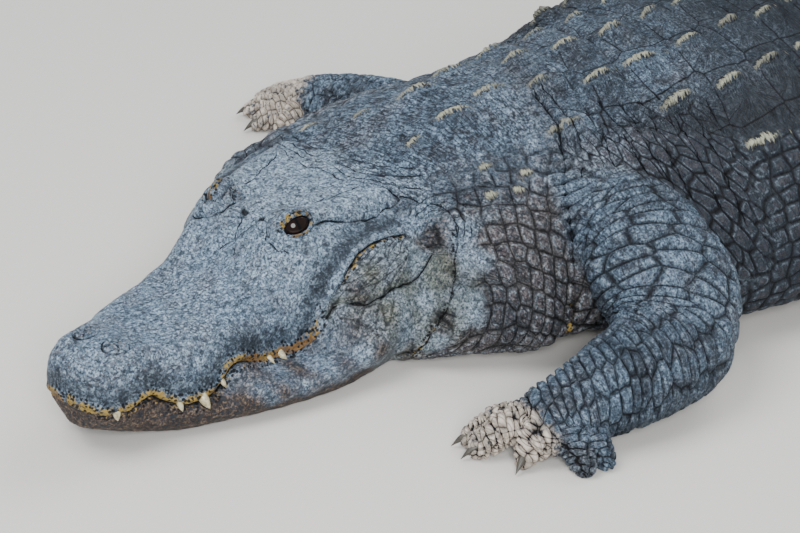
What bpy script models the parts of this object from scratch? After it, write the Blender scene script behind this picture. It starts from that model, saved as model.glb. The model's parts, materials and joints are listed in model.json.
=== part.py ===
"""A life-size still model of a resting American alligator, in metres, +Z up.

The animal lies on its belly with the snout towards -X, its left side towards -Y and the
floor at height zero. Places along the animal are distances behind the tip of the snout,
measured along its spine; places on the head are back, left and up from that tip.
"""
import math
import random

import bmesh
import bpy
import numpy as np
from mathutils import Matrix, Vector

# Driving dimensions in metres
LENGTH = 3.50
JOINT_GAP = 0.0003
CUTTER_LAP = 0.005
BELLY_PRESS = 0.012
SPINE_STEP = 0.005

# How far the spine is turned from +X, in degrees, along the animal
HEADING = ((0.0, 15.5), (0.43, 15.5), (0.49, -14.0), (0.55, -19.0), (0.70, -16.0), (0.85, -6.0),
           (1.00, 0.0), (1.70, 0.0), (2.20, 9.0), (2.80, 24.0), (LENGTH, 30.0))
# How far the body's cross sections are turned, which bend more gently than the spine
SECTION_TURN = ((0.0, 15.5), (0.34, 15.5), (0.70, -14.0), (0.86, -7.0), (1.00, 0.0), (1.70, 0.0), (2.20, 9.0),
                (2.80, 24.0), (LENGTH, 30.0))

# The body's half width, its top, the height where it is widest, and how square it is
BODY_HALF = ((0.30, 0.150), (0.36, 0.192), (0.42, 0.242), (0.50, 0.272), (0.58, 0.268), (0.66, 0.244),
             (0.74, 0.255), (0.86, 0.295), (1.05, 0.308), (1.25, 0.300), (1.42, 0.268), (1.56, 0.214),
             (1.70, 0.162), (1.90, 0.128), (2.20, 0.092), (2.60, 0.056), (3.00, 0.030), (3.30, 0.015),
             (LENGTH, 0.004))
RIGHT_SHARE = ((0.30, 0.62), (0.42, 0.68), (0.50, 0.76), (0.60, 0.90), (0.72, 1.0), (LENGTH, 1.0))
BODY_TOP = ((0.30, 0.140), (0.42, 0.160), (0.48, 0.178), (0.56, 0.218), (0.66, 0.248), (0.80, 0.278),
            (0.95, 0.296), (1.15, 0.305), (1.35, 0.296), (1.55, 0.265), (1.70, 0.238), (1.90, 0.208),
            (2.20, 0.172), (2.60, 0.130), (3.00, 0.088), (3.30, 0.052), (LENGTH, 0.018))
BODY_WIDE = ((0.30, 0.050), (0.45, 0.058), (0.60, 0.066), (0.80, 0.076), (1.20, 0.086), (1.55, 0.090),
             (1.90, 0.084), (2.60, 0.052), (3.00, 0.036), (LENGTH, 0.007))
UPPER_POWER = ((0.30, 2.3), (0.46, 2.15), (0.56, 1.8), (0.66, 1.65), (0.80, 1.8), (1.30, 2.0), (1.70, 1.9),
               (2.20, 1.8), (LENGTH, 1.7))
LOWER_POWER = ((0.30, 2.6), (1.30, 2.7), (1.70, 2.5), (LENGTH, 2.2))

# Where the body is parted, and the slant of the cut behind the head
NECK_START = 0.31
NECK_END = 0.672
TORSO_MIDDLE = 1.15
TORSO_END = 1.70
TAIL_CUTS = (2.18, 2.72)
HEAD_CUT_FLOOR = 0.355
HEAD_CUT_TOP = 0.462
HEAD_CUT_HEIGHT = 0.172

# Half section of the upper head: crown, ridge of the brow, two points down the side, and lip
CROWN_UP = ((0, 0.088), (0.006, 0.102), (0.02, 0.114), (0.05, 0.121), (0.08, 0.116), (0.12, 0.109),
            (0.17, 0.108), (0.22, 0.116), (0.26, 0.133), (0.29, 0.152), (0.32, 0.161), (0.36, 0.168),
            (0.42, 0.173), (0.5, 0.174))
RIDGE_OUT = ((0.0, 0.010), (0.006, 0.022), (0.02, 0.034), (0.05, 0.040), (0.08, 0.044), (0.12, 0.054),
             (0.17, 0.060), (0.22, 0.058), (0.26, 0.052), (0.29, 0.050), (0.32, 0.052), (0.35, 0.062),
             (0.42, 0.076), (0.50, 0.084))
RIDGE_UP = ((0, 0.085), (0.006, 0.097), (0.02, 0.108), (0.05, 0.114), (0.08, 0.110), (0.12, 0.104),
            (0.17, 0.103), (0.22, 0.111), (0.26, 0.134), (0.29, 0.166), (0.32, 0.178), (0.35, 0.173),
            (0.42, 0.171), (0.5, 0.169))
BROW_OUT = ((0.0, 0.013), (0.006, 0.028), (0.02, 0.042), (0.05, 0.049), (0.08, 0.053), (0.12, 0.069),
            (0.17, 0.075), (0.22, 0.077), (0.26, 0.078), (0.29, 0.077), (0.32, 0.078), (0.35, 0.080),
            (0.42, 0.092), (0.50, 0.108))
BROW_UP = ((0, 0.080), (0.006, 0.086), (0.02, 0.092), (0.05, 0.097), (0.08, 0.094), (0.12, 0.090),
           (0.17, 0.090), (0.22, 0.096), (0.26, 0.110), (0.29, 0.140), (0.32, 0.157), (0.35, 0.156),
           (0.42, 0.154), (0.5, 0.152))
CHEEK_OUT = ((0.0, 0.014), (0.006, 0.031), (0.02, 0.044), (0.05, 0.053), (0.08, 0.061), (0.12, 0.079),
             (0.17, 0.083), (0.22, 0.086), (0.26, 0.090), (0.29, 0.094), (0.32, 0.097), (0.36, 0.101),
             (0.42, 0.112), (0.50, 0.126))
CHEEK_UP = ((0.0, 0.074), (0.02, 0.074), (0.05, 0.077), (0.08, 0.075), (0.12, 0.068), (0.17, 0.076),
            (0.22, 0.074), (0.26, 0.078), (0.29, 0.098), (0.32, 0.124), (0.36, 0.143), (0.42, 0.144),
            (0.50, 0.125))
LIP_OUT = ((0.0, 0.012), (0.004, 0.024), (0.01, 0.034), (0.03, 0.047), (0.05, 0.054), (0.07, 0.056),
           (0.09, 0.068), (0.11, 0.080), (0.14, 0.084), (0.18, 0.085), (0.22, 0.087), (0.26, 0.094),
           (0.30, 0.103), (0.33, 0.109), (0.36, 0.115), (0.42, 0.126), (0.50, 0.138))
LIP_UP = ((0.0, 0.068), (0.01, 0.060), (0.023, 0.055), (0.045, 0.055), (0.070, 0.060), (0.080, 0.053),
          (0.096, 0.044), (0.112, 0.040), (0.134, 0.040), (0.152, 0.045), (0.175, 0.061), (0.207, 0.051),
          (0.239, 0.042), (0.268, 0.040), (0.289, 0.045), (0.303, 0.058), (0.314, 0.084), (0.333, 0.106),
          (0.350, 0.121), (0.366, 0.132), (0.39, 0.136), (0.42, 0.132), (0.45, 0.120), (0.50, 0.092))
LIP_DEPTH = 0.006
PALATE_RISE = 0.004

# Half section of the lower jaw: how far it stands out at its widest, and on the floor
JAW_START = 0.010
JAW_OUT = ((0.0, 0.006), (0.012, 0.020), (0.03, 0.038), (0.06, 0.052), (0.09, 0.070), (0.12, 0.090),
           (0.16, 0.114), (0.20, 0.136), (0.25, 0.158), (0.29, 0.170), (0.33, 0.180), (0.37, 0.180),
           (0.43, 0.170), (0.50, 0.160))
JAW_UP = ((0.0, 0.044), (0.05, 0.032), (0.10, 0.026), (0.20, 0.030), (0.30, 0.044), (0.37, 0.054), (0.50, 0.062))
JAW_FLOOR = ((0.0, 0.004), (0.012, 0.010), (0.03, 0.024), (0.06, 0.038), (0.09, 0.054), (0.12, 0.072),
             (0.16, 0.094), (0.20, 0.116), (0.25, 0.138), (0.29, 0.150), (0.37, 0.156), (0.50, 0.140))
CHIN_LIFT = ((0.0, 0.034), (0.03, 0.024), (0.07, 0.010), (0.12, 0.0), (0.50, 0.0))
JAW_RIGHT = 0.40

# The eyes: the middle of the open eye, the way it looks, and the ball's radius
EYE_FACE = (0.310, 0.066, 0.172)
EYE_LOOK = (-0.42, 0.76, 0.50)
EYE_RADIUS = 0.0150
SOCKET_RADIUS = EYE_RADIUS + JOINT_GAP

# How finely the solids are faceted
BODY_AROUND = 26
TAIL_AROUND = 18
HEAD_SIDE = 8
HEAD_STEP = 0.017
JAW_SIDE = 6
LIMB_AROUND = 11
DIGIT_AROUND = 6

# The left and right limbs: places from shoulder or hip outwards, with half width and half height
LEFT_ARM = ((0.690, -0.070, 0.120, 0.066, 0.070), (0.668, -0.140, 0.128, 0.074, 0.072),
            (0.652, -0.215, 0.112, 0.078, 0.070), (0.630, -0.272, 0.074, 0.068, 0.064),
            (0.582, -0.294, 0.060, 0.060, 0.056), (0.530, -0.298, 0.053, 0.054, 0.050),
            (0.478, -0.293, 0.043, 0.044, 0.040), (0.445, -0.286, 0.034, 0.040, 0.032))
RIGHT_ARM = ((0.690, 0.110, 0.120, 0.066, 0.070), (0.704, 0.185, 0.108, 0.066, 0.066),
             (0.720, 0.250, 0.082, 0.060, 0.058), (0.724, 0.305, 0.062, 0.055, 0.052),
             (0.722, 0.360, 0.054, 0.050, 0.048), (0.714, 0.415, 0.047, 0.046, 0.043),
             (0.702, 0.468, 0.039, 0.041, 0.036), (0.693, 0.500, 0.033, 0.039, 0.031))
LEFT_LEG = ((1.620, -0.060, 0.130, 0.090, 0.085), (1.555, -0.190, 0.125, 0.090, 0.080),
            (1.480, -0.275, 0.100, 0.078, 0.070), (1.425, -0.325, 0.068, 0.064, 0.060),
            (1.475, -0.362, 0.060, 0.058, 0.056), (1.545, -0.392, 0.050, 0.052, 0.048),
            (1.610, -0.415, 0.042, 0.044, 0.040), (1.645, -0.432, 0.036, 0.040, 0.034))
RIGHT_LEG = ((1.620, 0.085, 0.130, 0.090, 0.085), (1.560, 0.215, 0.125, 0.090, 0.080),
             (1.490, 0.300, 0.100, 0.078, 0.070), (1.440, 0.352, 0.068, 0.064, 0.060),
             (1.495, 0.385, 0.060, 0.058, 0.056), (1.565, 0.412, 0.050, 0.052, 0.048),
             (1.630, 0.438, 0.042, 0.044, 0.040), (1.662, 0.458, 0.036, 0.040, 0.034))
DOME_ANGLES = (math.radians(76.0), math.radians(45.0))
DIGIT_DOME = (math.radians(58.0),)
WRIST_SHARE = (1.0, 1.0, 1.0, 0.9, 0.9)

# Digits: root, knuckle and tip of each, with the thickness at the root and at the tip
LEFT_HAND = (((0.425, -0.270, 0.028), (0.395, -0.252, 0.028), (0.362, -0.238, 0.010)),
             ((0.423, -0.278, 0.028), (0.390, -0.268, 0.029), (0.356, -0.260, 0.010)),
             ((0.427, -0.288, 0.028), (0.408, -0.294, 0.029), (0.384, -0.304, 0.010)),
             ((0.438, -0.298, 0.028), (0.434, -0.320, 0.028), (0.428, -0.352, 0.008)),
             ((0.450, -0.300, 0.028), (0.456, -0.325, 0.026), (0.456, -0.356, 0.008)))
RIGHT_HAND = (((0.684, 0.504, 0.027), (0.660, 0.494, 0.027), (0.624, 0.486, 0.010)),
              ((0.682, 0.510, 0.027), (0.654, 0.514, 0.028), (0.612, 0.524, 0.010)),
              ((0.684, 0.516, 0.027), (0.660, 0.534, 0.028), (0.628, 0.564, 0.010)),
              ((0.690, 0.520, 0.027), (0.680, 0.548, 0.027), (0.664, 0.588, 0.008)),
              ((0.698, 0.520, 0.027), (0.700, 0.548, 0.026), (0.704, 0.586, 0.008)))
LEFT_FOOT = (((1.635, -0.442, 0.028), (1.590, -0.456, 0.026), (1.530, -0.470, 0.010)),
             ((1.640, -0.450, 0.028), (1.590, -0.476, 0.027), (1.520, -0.508, 0.010)),
             ((1.646, -0.456, 0.028), (1.606, -0.496, 0.027), (1.545, -0.552, 0.010)),
             ((1.654, -0.460, 0.028), (1.634, -0.508, 0.026), (1.600, -0.572, 0.008)))
RIGHT_FOOT = (((1.652, 0.466, 0.028), (1.608, 0.478, 0.026), (1.548, 0.490, 0.010)),
              ((1.656, 0.474, 0.028), (1.606, 0.498, 0.027), (1.538, 0.528, 0.010)),
              ((1.662, 0.480, 0.028), (1.622, 0.520, 0.027), (1.562, 0.574, 0.010)),
              ((1.670, 0.484, 0.028), (1.650, 0.532, 0.026), (1.618, 0.596, 0.008)))
DIGIT_THICK = 0.0125
DIGIT_TIP = 0.0075
PALM_HALF = (0.040, 0.026)
SOLE_HALF = (0.040, 0.028)

# Claws grow on the inner three digits; the web lies between the hind toes
CLAWED = 3
CLAW_LONG = 0.022
CLAW_HALF = 0.0045
CLAW_TIP_UP = 0.003
WEB_UP = (0.006, 0.015)

# Keeled scutes: rows along the trunk, columns across it, and the crests of the tail
SCUTE_ROOT = 0.010
SCUTE_RIM = 0.0020
SCUTE_KEEL = 0.011
KEEL_REACH = (-0.70, 0.80)
CREST_REACH = (0.10, 0.95)
ROW_SHARE = 0.45
COLUMN_SHARE = 0.41
SCUTE_STRAY = 0.0024
ROW_PITCH = ((NECK_END, 0.058), (0.90, 0.060), (1.30, 0.066), (1.80, 0.060), (2.60, 0.054), (LENGTH, 0.052))
MIDLINE = ((NECK_END, -0.005), (0.80, 0.026), (1.05, 0.026), (1.30, 0.0), (LENGTH, 0.0))
COLUMN_PITCH = ((NECK_END, 0.060), (0.80, 0.074), (1.20, 0.072), (1.45, 0.062), (TORSO_END, 0.050),
                (2.05, 0.034))
COLUMNS = (-2.5, -1.5, -0.5, 0.5, 1.5, 2.5)
COLUMN_LIMIT = ((NECK_END, 0.44), (0.76, 0.44), (0.84, 0.72), (1.28, 0.72), (1.38, 0.50), (TORSO_END, 0.50))
KEELS_END = 2.02
CREST_SIDE = ((TORSO_END, 0.078), (2.00, 0.050), (2.40, 0.026), (TAIL_CUTS[1], 0.011))
CREST_HEIGHT = ((TORSO_END, 0.013), (2.00, 0.020), (2.40, 0.030), (2.80, 0.036), (3.20, 0.026), (LENGTH, 0.006))
CREST_HALF = 0.0065
NUCHALS = ((0.583, -0.040, 0.024, 0.015), (0.590, 0.034, 0.024, 0.015), (0.637, -0.066, 0.023, 0.015),
           (0.645, 0.020, 0.023, 0.015), (0.576, 0.124, 0.011, 0.007), (0.560, 0.161, 0.011, 0.007),
           (0.604, 0.161, 0.011, 0.007), (0.628, 0.142, 0.011, 0.007), (0.530, -0.056, 0.011, 0.007),
           (0.494, -0.095, 0.011, 0.007), (0.532, 0.043, 0.011, 0.007))
VARIATION = 0.12
SEED = 7
NUDGE = 0.002

# Teeth of the upper jaw that show past the lower lip, the lids, nostrils and ear slits
TEETH_BACK = (0.030, 0.098, 0.125, 0.155, 0.228, 0.245)
TOOTH_HALF = 0.0040
TOOTH_DROP = 0.011
TOOTH_ROOT = (0.005, 0.009)
LID_HALF = (0.0165, 0.0115)
LID_THICK = 0.0055
LID_SINK = 0.0025
NOSTRIL_PLACE = (0.057, 0.0215, 0.1150)
NOSTRIL_RIM = (0.0140, 0.0115, 0.0080)
NOSTRIL_PIT = (0.0070, 0.0050, 0.0060)
NOSTRIL_PIT_RISE = 0.0085
EAR_BACK = (0.338, 0.436)
EAR_DEPTH = (-0.008, 0.006)
EAR_GAP = (-0.0045, -0.0005)

HIDE_HEAD = ("hide_head", (0.085, 0.105, 0.125), 0.55)
HIDE_JAW = ("hide_jaw", (0.120, 0.105, 0.080), 0.60)
HIDE_NECK = ("hide_neck", (0.085, 0.088, 0.090), 0.62)
HIDE_BODY = ("hide_body", (0.075, 0.082, 0.088), 0.62)
HIDE_TAIL = ("hide_tail", (0.065, 0.070, 0.074), 0.64)
HIDE_LIMB = ("hide_limb", (0.070, 0.085, 0.100), 0.58)
EYEBALL = ("eyeball", (0.060, 0.030, 0.014), 0.08)


# Lengths of the body, each with where it starts and ends, its rings' spacing and points a ring
SPANS = (("neck", NECK_START, NECK_END, 0.029, BODY_AROUND, HIDE_NECK),
         ("torso_front", NECK_END, TORSO_MIDDLE, 0.048, BODY_AROUND, HIDE_BODY),
         ("torso_rear", TORSO_MIDDLE, TORSO_END, 0.054, BODY_AROUND, HIDE_BODY),
         ("tail_base", TORSO_END, TAIL_CUTS[0], 0.048, TAIL_AROUND, HIDE_TAIL),
         ("tail_middle", TAIL_CUTS[0], TAIL_CUTS[1], 0.060, TAIL_AROUND, HIDE_TAIL),
         ("tail_tip", TAIL_CUTS[1], LENGTH, 0.078, TAIL_AROUND, HIDE_TAIL))


def clear_scene():
    """Remove whatever the scene holds."""
    for thing in list(bpy.data.objects):
        bpy.data.objects.remove(thing, do_unlink=True)


def finish(slot):
    """The material of one kind of surface."""
    name, color, roughness = slot
    material = bpy.data.materials.get(name)
    if material is None:
        material = bpy.data.materials.new(name)
        material.use_nodes = True
        shader = material.node_tree.nodes["Principled BSDF"]
        shader.inputs["Base Color"].default_value = (*color, 1.0)
        shader.inputs["Roughness"].default_value = roughness
        shader.inputs["Metallic"].default_value = 0.0
    return material


def curve(points, at):
    """Value of a smooth curve through (place, value) points that never overshoots them."""
    place, value = np.array(points, float).T
    step = np.diff(place)
    rise = np.diff(value) / step
    slope = np.concatenate((rise[:1], np.zeros(len(rise) - 1), rise[-1:]))
    same = rise[:-1] * rise[1:] > 0.0
    slope[1:-1][same] = 2.0 * (rise[:-1] * rise[1:])[same] / (rise[:-1] + rise[1:])[same]
    at = np.clip(np.asarray(at, float), place[0], place[-1])
    cell = np.clip(np.searchsorted(place, at, side="right") - 1, 0, len(step) - 1)
    share = (at - place[cell]) / step[cell]
    left = value[cell] + share * step[cell] * slope[cell]
    right = value[cell + 1] - (1.0 - share) * step[cell] * slope[cell + 1]
    blend = share * share * (3.0 - 2.0 * share)
    return left + (right - left) * blend


def spread(points, count):
    """A smooth line through points, as count places evenly along it."""
    points = np.array(points, float)
    reach = np.concatenate(([0.0], np.cumsum(np.linalg.norm(np.diff(points, axis=0), axis=1))))
    at = np.linspace(0.0, reach[-1], count)
    return np.stack([curve(np.stack((reach, part), 1), at) for part in points.T], 1)


def spine_line():
    """The spine's places, and its X and Y, along the whole animal."""
    place = np.arange(0.0, LENGTH + SPINE_STEP, SPINE_STEP)
    turn = np.radians(curve(HEADING, place))
    middle = (turn[1:] + turn[:-1]) / 2.0
    x = np.concatenate(([0.0], np.cumsum(np.cos(middle)) * SPINE_STEP))
    y = np.concatenate(([0.0], np.cumsum(np.sin(middle)) * SPINE_STEP))
    return place, x, y


SPINE = spine_line()


def beside_spine(place, left, up):
    """Points beside the spine: a distance behind the snout, to the left and up."""
    place, left, up = np.broadcast_arrays(np.asarray(place, float), left, up)
    x, y = (np.interp(place, SPINE[0], part) for part in SPINE[1:])
    turn = np.radians(curve(SECTION_TURN, place))
    return np.stack((x + left * np.sin(turn), y - left * np.cos(turn), up), -1)


def on_head(back, left, up):
    """Points on the head: back, left and up from the tip of the snout."""
    back, left, up = np.broadcast_arrays(np.asarray(back, float), left, up)
    turn = math.radians(HEADING[0][1])
    return np.stack((back * math.cos(turn) + left * math.sin(turn),
                     back * math.sin(turn) - left * math.cos(turn), up), -1)


def body_points(place, turn, grow=0.0):
    """Points on the body at distances behind the snout; turn 0 is the back, 90 the left flank."""
    half = curve(BODY_HALF, place) + grow
    top = curve(BODY_TOP, place) + grow
    wide = curve(BODY_WIDE, place)
    sine, cosine = np.sin(turn), np.cos(turn)
    above = cosine >= 0.0
    power = np.where(above, 2.0 / curve(UPPER_POWER, place), 2.0 / curve(LOWER_POWER, place))
    half = np.where(sine < 0.0, half * curve(RIGHT_SHARE, place), half)
    left = half * np.sign(sine) * np.abs(sine) ** power
    reach = np.where(above, top - wide, wide + BELLY_PRESS)
    up = wide + np.sign(cosine) * reach * np.abs(cosine) ** power
    return beside_spine(place, left, np.maximum(up, -20.0 * grow))


def body_rings(start, end, step, grow=0.0, around=BODY_AROUND):
    """Rings of points round the body from start to end."""
    count = max(2, round((end - start) / step) + 1)
    turns = np.linspace(0.0, 2.0 * math.pi, around, endpoint=False)
    return [body_points(place, turns, grow) for place in np.linspace(start, end, count)]


def make_object(name, mesh_data, slot, collection):
    """An object from a bmesh, with its faces pointing out and its material."""
    bmesh.ops.recalc_face_normals(mesh_data, faces=mesh_data.faces)
    bmesh.ops.triangulate(mesh_data, faces=mesh_data.faces)
    mesh = bpy.data.meshes.new(name)
    mesh_data.to_mesh(mesh)
    mesh_data.free()
    mesh.materials.append(finish(slot))
    thing = bpy.data.objects.new(name, mesh)
    collection.objects.link(thing)
    return thing


def loft(name, rings, slot, collection):
    """A closed solid through rings of points, with a fan over each end."""
    shape = bmesh.new()
    rows = [[shape.verts.new(point) for point in ring] for ring in rings]
    around = len(rings[0])
    for near, far in zip(rows, rows[1:]):
        for k in range(around):
            n = (k + 1) % around
            shape.faces.new((near[k], near[n], far[n], far[k]))
    for row in (rows[0], rows[-1]):
        middle = shape.verts.new(sum((vert.co for vert in row), Vector()) / around)
        for k in range(around):
            shape.faces.new((row[k], row[(k + 1) % around], middle))
    return make_object(name, shape, slot, collection)


def apply_boolean(target, operation, others):
    """Cut or join other objects into a target, for good."""
    group = bpy.data.collections.new("tools")
    for other in others:
        group.objects.link(other)
    modifier = target.modifiers.new("join", "BOOLEAN")
    modifier.operand_type = "COLLECTION"
    modifier.collection = group
    modifier.operation = operation
    modifier.solver = "EXACT"
    depsgraph = bpy.context.evaluated_depsgraph_get()
    result = bpy.data.meshes.new_from_object(target.evaluated_get(depsgraph))
    target.modifiers.clear()
    target.data = result
    bpy.data.collections.remove(group)
    for other in others:
        bpy.data.objects.remove(other, do_unlink=True)
    keep_largest(target)


def keep_largest(thing):
    """Keep only the largest closed surface of an object."""
    shape = bmesh.new()
    shape.from_mesh(thing.data)
    left = set(shape.verts)
    groups = []
    while left:
        seed = left.pop()
        group, edge = {seed}, [seed]
        while edge:
            vert = edge.pop()
            for link in vert.link_edges:
                other = link.other_vert(vert)
                if other in left:
                    left.discard(other)
                    group.add(other)
                    edge.append(other)
        groups.append(group)
    groups.sort(key=len)
    scraps = [vert for group in groups[:-1] for vert in group]
    bmesh.ops.delete(shape, geom=scraps, context="VERTS")
    shape.to_mesh(thing.data)
    shape.free()


def hull(name, points, slot, collection):
    """The smallest convex solid round some points."""
    shape = bmesh.new()
    corners = [shape.verts.new(point) for point in points]
    bmesh.ops.convex_hull(shape, input=corners)
    inside = [vert for vert in shape.verts if not vert.link_faces]
    bmesh.ops.delete(shape, geom=inside, context="VERTS")
    return make_object(name, shape, slot, collection)


def spike(name, root, tip, half, sides, slot, collection):
    """A cone from a root to a tip, as a tooth or a claw."""
    root, tip = np.array(root), np.array(tip)
    along = (tip - root) / np.linalg.norm(tip - root)
    aside = np.cross(along, (0.3, 0.2, 1.0))
    aside /= np.linalg.norm(aside)
    over = np.cross(along, aside)
    turns = np.linspace(0.0, 2.0 * math.pi, sides, endpoint=False)
    ring = root + half * (np.outer(np.cos(turns), aside) + np.outer(np.sin(turns), over))
    return hull(name, [*ring, tip], slot, collection)


def cut_plane(thing, point, normal):
    """Cut a closed object with a plane, keeping the side that the normal leaves."""
    shape = bmesh.new()
    shape.from_mesh(thing.data)
    everything = shape.verts[:] + shape.edges[:] + shape.faces[:]
    cut = bmesh.ops.bisect_plane(shape, geom=everything, plane_co=point, plane_no=normal, clear_outer=True)
    rim = [item for item in cut["geom_cut"] if isinstance(item, bmesh.types.BMEdge)]
    made = bmesh.ops.edgeloop_fill(shape, edges=rim)
    bmesh.ops.triangulate(shape, faces=made["faces"])
    bmesh.ops.recalc_face_normals(shape, faces=shape.faces)
    shape.to_mesh(thing.data)
    shape.free()


def head_cut():
    """A point on the slanted cut behind the head, and its normal towards the tail."""
    low = Vector(on_head(HEAD_CUT_FLOOR, 0.0, 0.0))
    high = Vector(on_head(HEAD_CUT_TOP, 0.0, HEAD_CUT_HEIGHT))
    across = Vector(on_head(HEAD_CUT_FLOOR, 1.0, 0.0)) - low
    normal = across.cross(high - low).normalized()
    if normal.x < 0.0:
        normal.negate()
    return low, normal


def head_side(back, count):
    """The left half section of the upper head, from the crown to the lip, as left and up."""
    crown = curve(CROWN_UP, back)
    ridge = (curve(RIDGE_OUT, back), curve(RIDGE_UP, back))
    points = ((0.0, crown),
              (0.5 * ridge[0], 0.5 * (crown + ridge[1]) + 0.10 * (crown - ridge[1])),
              ridge,
              (curve(BROW_OUT, back), curve(BROW_UP, back)),
              (curve(CHEEK_OUT, back), curve(CHEEK_UP, back)),
              (curve(LIP_OUT, back), curve(LIP_UP, back) + LIP_DEPTH))
    return spread(points, count)


def jaw_side(back, count, bulge=1.0):
    """A half section of the lower jaw, from its lip to the floor, as out and up."""
    lip = curve(LIP_UP, back) - JOINT_GAP
    rest = curve(CHIN_LIFT, back)
    inner = curve(LIP_OUT, back)
    wide = inner + bulge * (curve(JAW_OUT, back) - inner)
    foot = inner + bulge * (curve(JAW_FLOOR, back) - inner)
    points = ((inner - 0.002, lip),
              (0.6 * inner + 0.4 * wide, 0.55 * lip + 0.45 * curve(JAW_UP, back)),
              (wide, np.maximum(curve(JAW_UP, back), rest)),
              (foot, rest))
    return spread(points, count)


def head_places():
    """Places of the head's rings, close together at the tip of the snout."""
    tip = (0.0, 0.004, 0.010, 0.018, 0.028)
    return np.concatenate((tip, np.arange(0.040, 0.520, HEAD_STEP)))


def mirrored_ring(back, side, inner):
    """A ring from a left half section and the inner points that close it."""
    half = np.concatenate((side, inner))
    left = [on_head(back, out, up) for out, up in half]
    right = [on_head(back, -out, up) for out, up in half[::-1] if out > 1e-9]
    return np.array(left + right)


def upper_head(collection):
    """Skull, snout and upper jaw, down to the line of the mouth."""
    rings = []
    for back in head_places():
        side = head_side(back, HEAD_SIDE)
        lip = curve(LIP_UP, back)
        out = curve(LIP_OUT, back)
        inner = np.array(((out - 0.002, lip), (0.6 * out, lip + PALATE_RISE), (0.0, lip + PALATE_RISE)))
        rings.append(mirrored_ring(back, side, inner))
    head = loft("head", rings, HIDE_HEAD, collection)
    point, normal = head_cut()
    cut_plane(head, point - normal * JOINT_GAP / 2.0, normal)
    return head


def lower_jaw(collection):
    """Lower jaw with its jowls, from the line of the mouth down to the floor."""
    rings = []
    for back in head_places():
        if back < JAW_START - 1e-6:
            continue
        left = jaw_side(back, JAW_SIDE)
        right = jaw_side(back, JAW_SIDE, JAW_RIGHT if back > 0.03 else 1.0)[::-1] * (-1.0, 1.0)
        lip = curve(LIP_UP, back) - JOINT_GAP
        half = 0.6 * curve(LIP_OUT, back)
        ring = np.concatenate((((0.0, lip), (half, lip)), left, ((0.0, left[-1][1]),), right, ((-half, lip),)))
        rings.append(on_head(back, ring[:, 0], ring[:, 1]))
    jaw = loft("lower_jaw", rings, HIDE_JAW, collection)
    point, normal = head_cut()
    cut_plane(jaw, point - normal * JOINT_GAP / 2.0, normal)
    return jaw


def neck_and_trunk(collection):
    """Neck, chest, belly and the three lengths of the tail."""
    half_gap = JOINT_GAP / 2.0
    made = {}
    for name, start, end, step, around, slot in SPANS:
        rings = body_rings(start + half_gap, end - half_gap, step, around=around)
        made[name] = loft(name, rings, slot, collection)
    point, normal = head_cut()
    cut_plane(made["neck"], point + normal * half_gap, -normal)
    return made


def trunk_cutter(first, last):
    """Rings round the spans from first to last, grown by the gap that a limb keeps to them."""
    rings = []
    for _, start, end, step, around, _ in SPANS[first:last + 1]:
        if not rings:
            rings = body_rings(start - CUTTER_LAP, start, CUTTER_LAP, JOINT_GAP, around)
        rings = rings[:-1] + body_rings(start, end, step, JOINT_GAP, around)
    return rings


def ball(name, middle, half_sizes, slot, collection, segments=12, rings=7):
    """A sphere or an ellipsoid at a place."""
    shape = bmesh.new()
    bmesh.ops.create_uvsphere(shape, u_segments=segments, v_segments=rings, radius=1.0)
    bmesh.ops.scale(shape, verts=shape.verts, vec=half_sizes)
    bmesh.ops.translate(shape, verts=shape.verts, vec=middle)
    return make_object(name, shape, slot, collection)


def eye_middle(side):
    """The middle of an eyeball; side is 1 on the left and -1 on the right."""
    look = np.array(EYE_LOOK) / np.linalg.norm(EYE_LOOK)
    back, left, up = np.array(EYE_FACE) - look * EYE_RADIUS
    return Vector(on_head(back, side * left, up))


def lid_ring(side, collection):
    """The thick rim of lids round an open eye, longer than it is high."""
    bpy.ops.mesh.primitive_torus_add(major_segments=12, minor_segments=6, major_radius=LID_HALF[0],
                                     minor_radius=LID_THICK)
    ring = bpy.context.object
    ring.users_collection[0].objects.unlink(ring)
    collection.objects.link(ring)
    look = np.array(EYE_LOOK) / np.linalg.norm(EYE_LOOK)
    back, left, up = np.array(EYE_FACE) - look * LID_SINK
    middle = Vector(on_head(back, side * left, up))
    outward = (middle - eye_middle(side)).normalized()
    along = Vector(on_head(1.0, 0.0, 0.0)) - Vector(on_head(0.0, 0.0, 0.0))
    along = (along - outward * along.dot(outward)).normalized()
    upward = outward.cross(along)
    turned = Matrix((along, upward, outward)).transposed().to_4x4()
    squashed = Matrix.Diagonal((1.0, LID_HALF[1] / LID_HALF[0], 1.0, 1.0))
    ring.data.transform(Matrix.Translation(middle) @ turned @ squashed)
    return ring


def tooth(back, side, grow, collection):
    """An upper tooth that hangs over the lower lip, or with grow the pocket that clears it."""
    lip_out, lip_up = curve(LIP_OUT, back), curve(LIP_UP, back)
    line = jaw_side(back, 40, 1.0 if side > 0.0 else JAW_RIGHT)
    reach = np.cumsum(np.linalg.norm(np.diff(line, axis=0), axis=1))
    out, up = line[1 + int(np.searchsorted(reach, TOOTH_DROP))]
    root = on_head(back, side * (lip_out - TOOTH_ROOT[0]), lip_up + TOOTH_ROOT[1])
    tip = on_head(back, side * (out + 0.001), up + 0.0015)
    reach_on = (tip - root) / np.linalg.norm(tip - root) * 2.0 * grow
    return spike("tooth", root, tip + reach_on, TOOTH_HALF + grow, 5, HIDE_HEAD, collection)


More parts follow.
